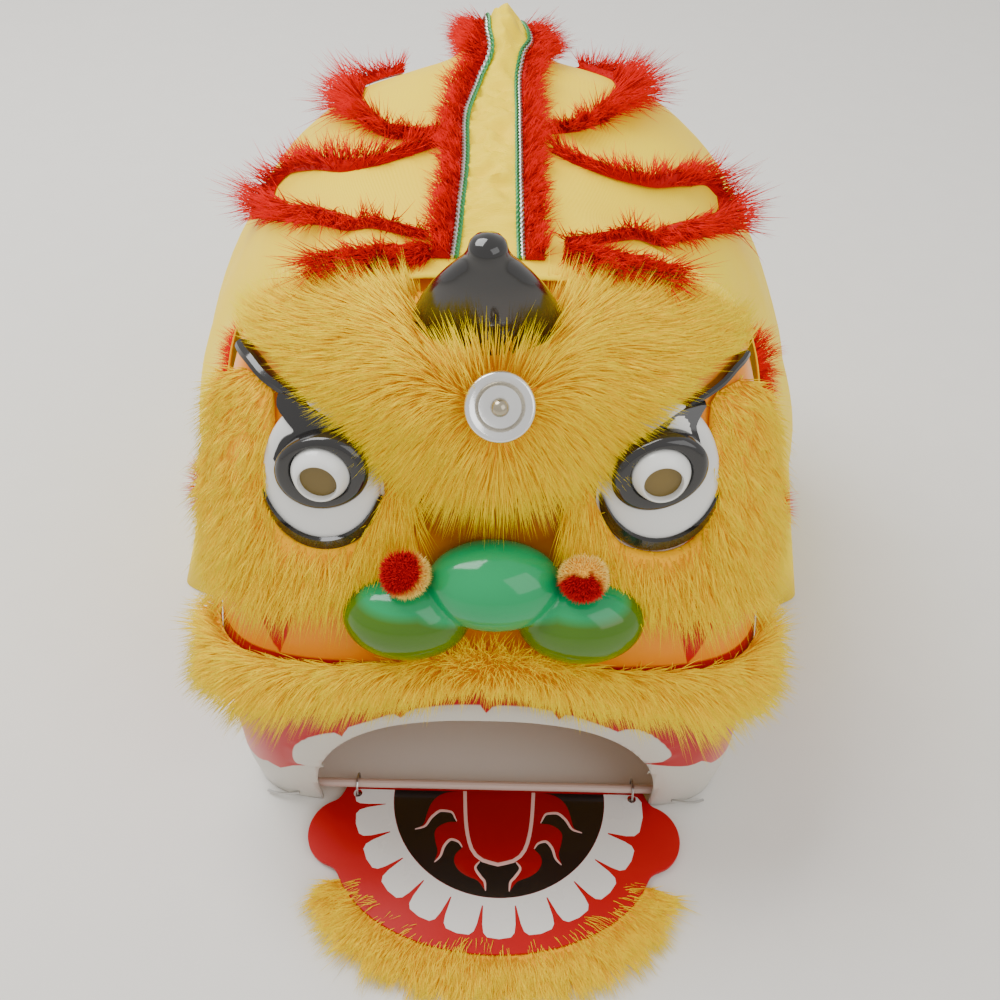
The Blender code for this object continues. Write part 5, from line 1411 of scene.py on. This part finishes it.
# The jaw board: a stiff red board with two ears, printed with a black throat, a tongue between flame
# curls and twelve teeth. It hangs from the bar by two wire rings and lies open on the floor.
JAW_WIDTH = 0.235
JAW_REACH = 0.110
JAW_THICKNESS = 0.003
JAW_FLOOR_GAP = 0.0025
JAW_SHIFT = 0.006
ROD_Y = -0.0033
EAR_RADIUS = 0.020
EAR_BACK = 0.0315
ROUND_Y = 0.045
ROUND_HALF = 0.843 * JAW_WIDTH / 2
HOLE_X = 0.089
HOLE_Y = ROD_Y - 0.0042
HOLE_RADIUS = 0.0028
BOARD_TOP = JAW_FLOOR_GAP + JAW_THICKNESS


def board_outline():
    """The board's edge from the back right over the ears and the round front to the back left."""
    ear_x, ear_y = JAW_WIDTH / 2 - EAR_RADIUS, ROD_Y - EAR_BACK
    right = [(ear_x - 0.0015, ROD_Y + 0.001)]
    for step in range(33):
        turn = math.radians(90 - 168 * step / 32)
        right.append((ear_x + EAR_RADIUS * math.cos(turn), ear_y + 1.125 * EAR_RADIUS * math.sin(turn)))
    for step in range(1, 41):
        turn = math.radians(8 + 82 * step / 40)
        right.append((ROUND_HALF * math.cos(turn), -ROUND_Y - (JAW_REACH - ROUND_Y) * math.sin(turn)))
    outline = right + [(-x, y) for x, y in reversed(right[:-1])]
    last = len(outline) - 1
    for _ in range(6):
        outline = [point if k in (0, last) else tuple((a + 2 * b + c) / 4 for a, b, c in
                                                      zip(outline[k - 1], point, outline[k + 1]))
                   for k, point in enumerate(outline[:-1])] + [outline[-1]]
    return [(x + JAW_SHIFT, y) for x, y in outline]


def hole_ring(x):
    """The edge of a hole in the board."""
    turns = [2 * math.pi * k / 24 for k in range(24)]
    return [(x + HOLE_RADIUS * math.cos(turn), HOLE_Y + HOLE_RADIUS * math.sin(turn)) for turn in turns]


def flat_solid(name, outlines, low, high, material, bevel=0.0):
    """A flat piece with rounded edges from outlines on the board; inner outlines are holes."""
    curve = bpy.data.curves.new(name, "CURVE")
    curve.dimensions = "2D"
    curve.fill_mode = "BOTH"
    curve.extrude = (high - low) / 2 - bevel
    curve.bevel_depth = bevel
    curve.bevel_resolution = 2
    for outline in outlines:
        spline = curve.splines.new("POLY")
        spline.points.add(len(outline) - 1)
        for point, (x, y) in zip(spline.points, outline):
            point.co = (x, y, 0.0, 1.0)
        spline.use_cyclic_u = True
    holder = bpy.data.objects.new(name, curve)
    bpy.context.scene.collection.objects.link(holder)
    graph = bpy.context.evaluated_depsgraph_get()
    mesh = bpy.data.meshes.new_from_object(holder.evaluated_get(graph), depsgraph=graph)
    bpy.data.objects.remove(holder, do_unlink=True)
    points = [vert.co + Vector((0, 0, (low + high) / 2)) for vert in mesh.vertices]
    faces = [tuple(face.vertices) for face in mesh.polygons]
    return add_piece(name, points, faces, material, "jaw", sharp=30.0)


board_red = solid_material("board_red", (0.46, 0.0, 0.002), 0.38, patch=0.10, grain=0.06, gloss=0.2)
print_black = solid_material("print_black", (0.012, 0.008, 0.007), 0.25, patch=0.3, grain=0.05, coat=0.2)
print_white = solid_material("print_white", (0.74, 0.73, 0.71), 0.28, patch=0.06, grain=0.05, coat=0.2)
print_red = solid_material("print_red", (0.30, 0.0, 0.002), 0.38, patch=0.12, grain=0.05, gloss=0.2)
print_pale = solid_material("print_pale", (0.72, 0.42, 0.38), 0.30, patch=0.08, grain=0.05, coat=0.1)
hole_edges = [hole_ring(x) for x in (JAW_SHIFT - HOLE_X, JAW_SHIFT + HOLE_X)]
board = flat_solid("jaw_board", [board_outline()] + hole_edges, JAW_FLOOR_GAP, BOARD_TOP, board_red, 0.0005)
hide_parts("jaw_plate")

PRINT_X = 0.0088
PRINT_Y = -0.0080
THROAT_RADIUS = 0.0680
TOOTH_RADIUS = 0.0925
TOOTH_COUNT = 12
TOOTH_TURN = 15.55
PRINT_BACK_Y = -0.0046


def printed(points):
    """Places from the print's own middle to the board."""
    return [(PRINT_X + x, min(y, PRINT_BACK_Y)) for x, y in points]


def print_arc(radius, first, last, count):
    """Places along an arc about the print's middle, from one angle in degrees to another."""
    turns = [math.radians(first + (last - first) * k / (count - 1)) for k in range(count)]
    return [(radius * math.cos(turn), PRINT_Y + radius * math.sin(turn)) for turn in turns]


throat = print_arc(THROAT_RADIUS, 4.0, -184.0, 64)
teeth = print_arc(THROAT_RADIUS + 0.0003, 4.0, -184.0, 64)[::-1]
for tooth in range(TOOTH_COUNT):
    first, last = -3.6 - TOOTH_TURN * tooth, -3.6 - TOOTH_TURN * (tooth + 1)
    if tooth == 0:
        first = 4.0
    if tooth == TOOTH_COUNT - 1:
        last = -184.0
    for share, radius in ((0.02, 0.0735), (0.07, 0.0850), (0.12, 0.0900), (0.22, TOOTH_RADIUS),
                          (0.50, TOOTH_RADIUS + 0.0008), (0.78, TOOTH_RADIUS), (0.88, 0.0900), (0.93, 0.0850),
                          (0.98, 0.0735)):
        teeth += print_arc(radius, first + (last - first) * share, 0.0, 2)[:1]
print_low = BOARD_TOP - 0.0002
for name, outlines, high, material in (("jaw_throat", [printed(throat)], 0.00025, print_black),
                                       ("jaw_teeth", [printed(teeth)] + hole_edges, 0.0003, print_white)):
    piece = flat_solid(name, outlines, print_low, BOARD_TOP + high, material)

# Half figures of the tongue and the flame curls, from the middle of the board to the left
TONGUE = ((-0.0223, -0.0046), (-0.0216, -0.0180), (-0.0205, -0.0295), (-0.0170, -0.0440), (-0.0103, -0.0518),
          (0.0, -0.0548))
FLAME = ((-0.0218, -0.0046), (-0.0260, -0.0046), (-0.0340, -0.0058), (-0.0400, -0.0090), (-0.0440, -0.0145),
         (-0.0462, -0.0220), (-0.0480, -0.0290), (-0.0530, -0.0322), (-0.0470, -0.0300), (-0.0426, -0.0231),
         (-0.0368, -0.0188), (-0.0307, -0.0195), (-0.0268, -0.0260), (-0.0320, -0.0268), (-0.0375, -0.0295),
         (-0.0403, -0.0337), (-0.0396, -0.0400), (-0.0378, -0.0470), (-0.0394, -0.0540), (-0.0360, -0.0500),
         (-0.0339, -0.0432), (-0.0296, -0.0386), (-0.0251, -0.0401), (-0.0226, -0.0437), (-0.0262, -0.0480),
         (-0.0272, -0.0530), (-0.0245, -0.0585), (-0.0190, -0.0625), (-0.0120, -0.0655), (-0.0072, -0.0718),
         (-0.0078, -0.0665), (-0.0108, -0.0625), (-0.0139, -0.0570), (-0.0113, -0.0529), (-0.0103, -0.0518),
         (-0.0170, -0.0440), (-0.0205, -0.0295))
CURLS = (
    ((-0.0530, -0.0322), (-0.0470, -0.0300), (-0.0426, -0.0231), (-0.0368, -0.0188), (-0.0307, -0.0195),
     (-0.0268, -0.0260)),
    ((-0.0394, -0.0540), (-0.0360, -0.0500), (-0.0339, -0.0432), (-0.0296, -0.0386), (-0.0251, -0.0401),
     (-0.0226, -0.0437)),
    ((-0.0072, -0.0718), (-0.0078, -0.0665), (-0.0108, -0.0625), (-0.0139, -0.0570), (-0.0113, -0.0529)),
)


def stroke(points, wide, taper=True):
    """The outline of a brush stroke along a curve, thin at its ends."""
    line = smooth_path(points, 25)
    left, right = [], []
    for index, (x, y) in enumerate(line):
        before, after = line[max(index - 1, 0)], line[min(index + 1, 24)]
        run = Vector((after[0] - before[0], after[1] - before[1])).normalized()
        half = wide / 2 * (0.25 + 0.75 * math.sin(math.pi * index / 24) ** 0.7 if taper else 1.0)
        left.append((x - run.y * half, y + run.x * half))
        right.append((x + run.y * half, y - run.x * half))
    return left + right[::-1]


def both_sides(outline):
    """An outline and its mirror image."""
    return [outline, [(-x, y) for x, y in reversed(outline)]]


tongue_half = smooth_path(TONGUE, 25)
tongue_fill = tongue_half + [(-x, y) for x, y in reversed(tongue_half[:-1])]
flame_shapes = [printed(shape) for shape in both_sides(smooth_loop(list(FLAME), 3))]
pale_shapes = [printed(stroke(tongue_fill, 0.0022, False))]
for curl in CURLS:
    pale_shapes += [printed(shape) for shape in both_sides(stroke(curl, 0.0016))]
for name, outlines, high, material in (
        ("jaw_flames", flame_shapes, 0.00040, print_red),
        ("jaw_tongue", [printed(tongue_fill)], 0.00045, print_red)):
    piece = flat_solid(name, outlines, print_low, BOARD_TOP + high, material, 0.00005)
for index, outline in enumerate(pale_shapes):
    piece = flat_solid("jaw_stroke_" + str(index), [outline], print_low, BOARD_TOP + 0.00055, print_pale,
                       0.00005)

# The beard: a strip of the same golden pile, glued under the board's round front edge so that its
# locks fan out flat on the floor.
BEARD_REACH = 0.036
BEARD_FROM = 19.0


def beard_place(share, reach):
    """A place on the floor: 0 to 1 runs from the right ear round to the left, reach 1 is the board's edge."""
    turn = math.radians(-BEARD_FROM - (180 - 2 * BEARD_FROM) * share)
    far, near = max(reach - 1.0, 0.0), min(reach, 1.0)
    return (JAW_SHIFT + math.cos(turn) * (ROUND_HALF * near + far * BEARD_REACH * 0.75),
            -ROUND_Y + math.sin(turn) * ((JAW_REACH - ROUND_Y) * near + far * BEARD_REACH))


inner, outer, comb, cover, long = [], [], [], [], []
beard_rows = ((0.80, 0.0021), (0.98, 0.0022), (1.06, 0.0045), (1.22, 0.0055), (1.40, 0.0040), (1.55, 0.0018))
for row, (reach, high) in enumerate(beard_rows):
    for index in range(81):
        spot = beard_place(index / 80, reach)
        far = beard_place(index / 80, reach + 0.2)
        inner.append(Vector((*spot, 0.0008)))
        outer.append(Vector((*spot, high)))
        way = Vector((far[0] - spot[0], far[1] - spot[1], 0)).normalized()
        comb.append((way + Vector((0, 0, 0.42))).normalized())
        cover.append(1.0 if row > 0 else 0.0)
        long.append(1.0 if 6 < index < 74 else 0.8)
grow_pile("beard_pile", inner, outer, 81, comb, cover, long, golden_pile, ["jaw_beard"], "yellow_fur",
          8500, 91, body="jaw", length=0.022, stray=0.28, tuft_pull=0.55, tuft_size=0.010, droop=0.32,
          strand_width=0.00026)

# The bar and its wires: a pale plastic tube through the mask's corners, tied by twisted wire, and the
# two rings that hang the board from it. Their solids are shown as they are.
bar_plastic = solid_material("bar_plastic", (0.60, 0.44, 0.38), 0.35, patch=0.15, grain=0.08)
drawn_wire = solid_material("drawn_wire", (0.50, 0.49, 0.47), 0.32, patch=0.4, grain=0.15, metallic=1.0)
for name, material in (("mouth_rod", bar_plastic), ("rod_tie_left", drawn_wire),
                       ("rod_tie_right", drawn_wire), ("jaw_ring_left", drawn_wire),
                       ("jaw_ring_right", drawn_wire)):
    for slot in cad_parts[name].material_slots:
        slot.material = material

# The studio: a plain pale floor, a large soft window light from the upper left and a weaker fill.
floor_material = solid_material("pale_floor", (0.76, 0.74, 0.70), 0.75, patch=0.05, grain=0.05)
FLOOR_HALF = 4.0
FLOOR_Z = -0.0006
floor_corners = [(x * FLOOR_HALF, y * FLOOR_HALF, FLOOR_Z) for x, y in ((-1, -1), (1, -1), (1, 1), (-1, 1))]
floor_mesh = bpy.data.meshes.new("floor")
floor_mesh.from_pydata(floor_corners, [], [(0, 1, 2, 3)])
floor_mesh.materials.append(floor_material)
floor = bpy.data.objects.new("floor", floor_mesh)
bpy.context.scene.collection.objects.link(floor)
for name, place, size, power in (("window_light", (-0.9, 0.5, 1.9), 1.3, 46.0),
                                 ("fill_light", (1.3, -1.2, 1.5), 1.6, 14.0)):
    light_data = bpy.data.lights.new(name, "AREA")
    light_data.size = size
    light_data.energy = power
    light = bpy.data.objects.new(name, light_data)
    light.location = place
    light.rotation_euler = (Vector((0, 0, 0.15)) - Vector(place)).to_track_quat("-Z", "Y").to_euler()
    bpy.context.scene.collection.objects.link(light)
world = bpy.data.worlds.new("soft_room")
world.use_nodes = True
world.node_tree.nodes["Background"].inputs["Color"].default_value = (1.0, 0.985, 0.96, 1.0)
world.node_tree.nodes["Background"].inputs["Strength"].default_value = 0.90
bpy.context.scene.world = world
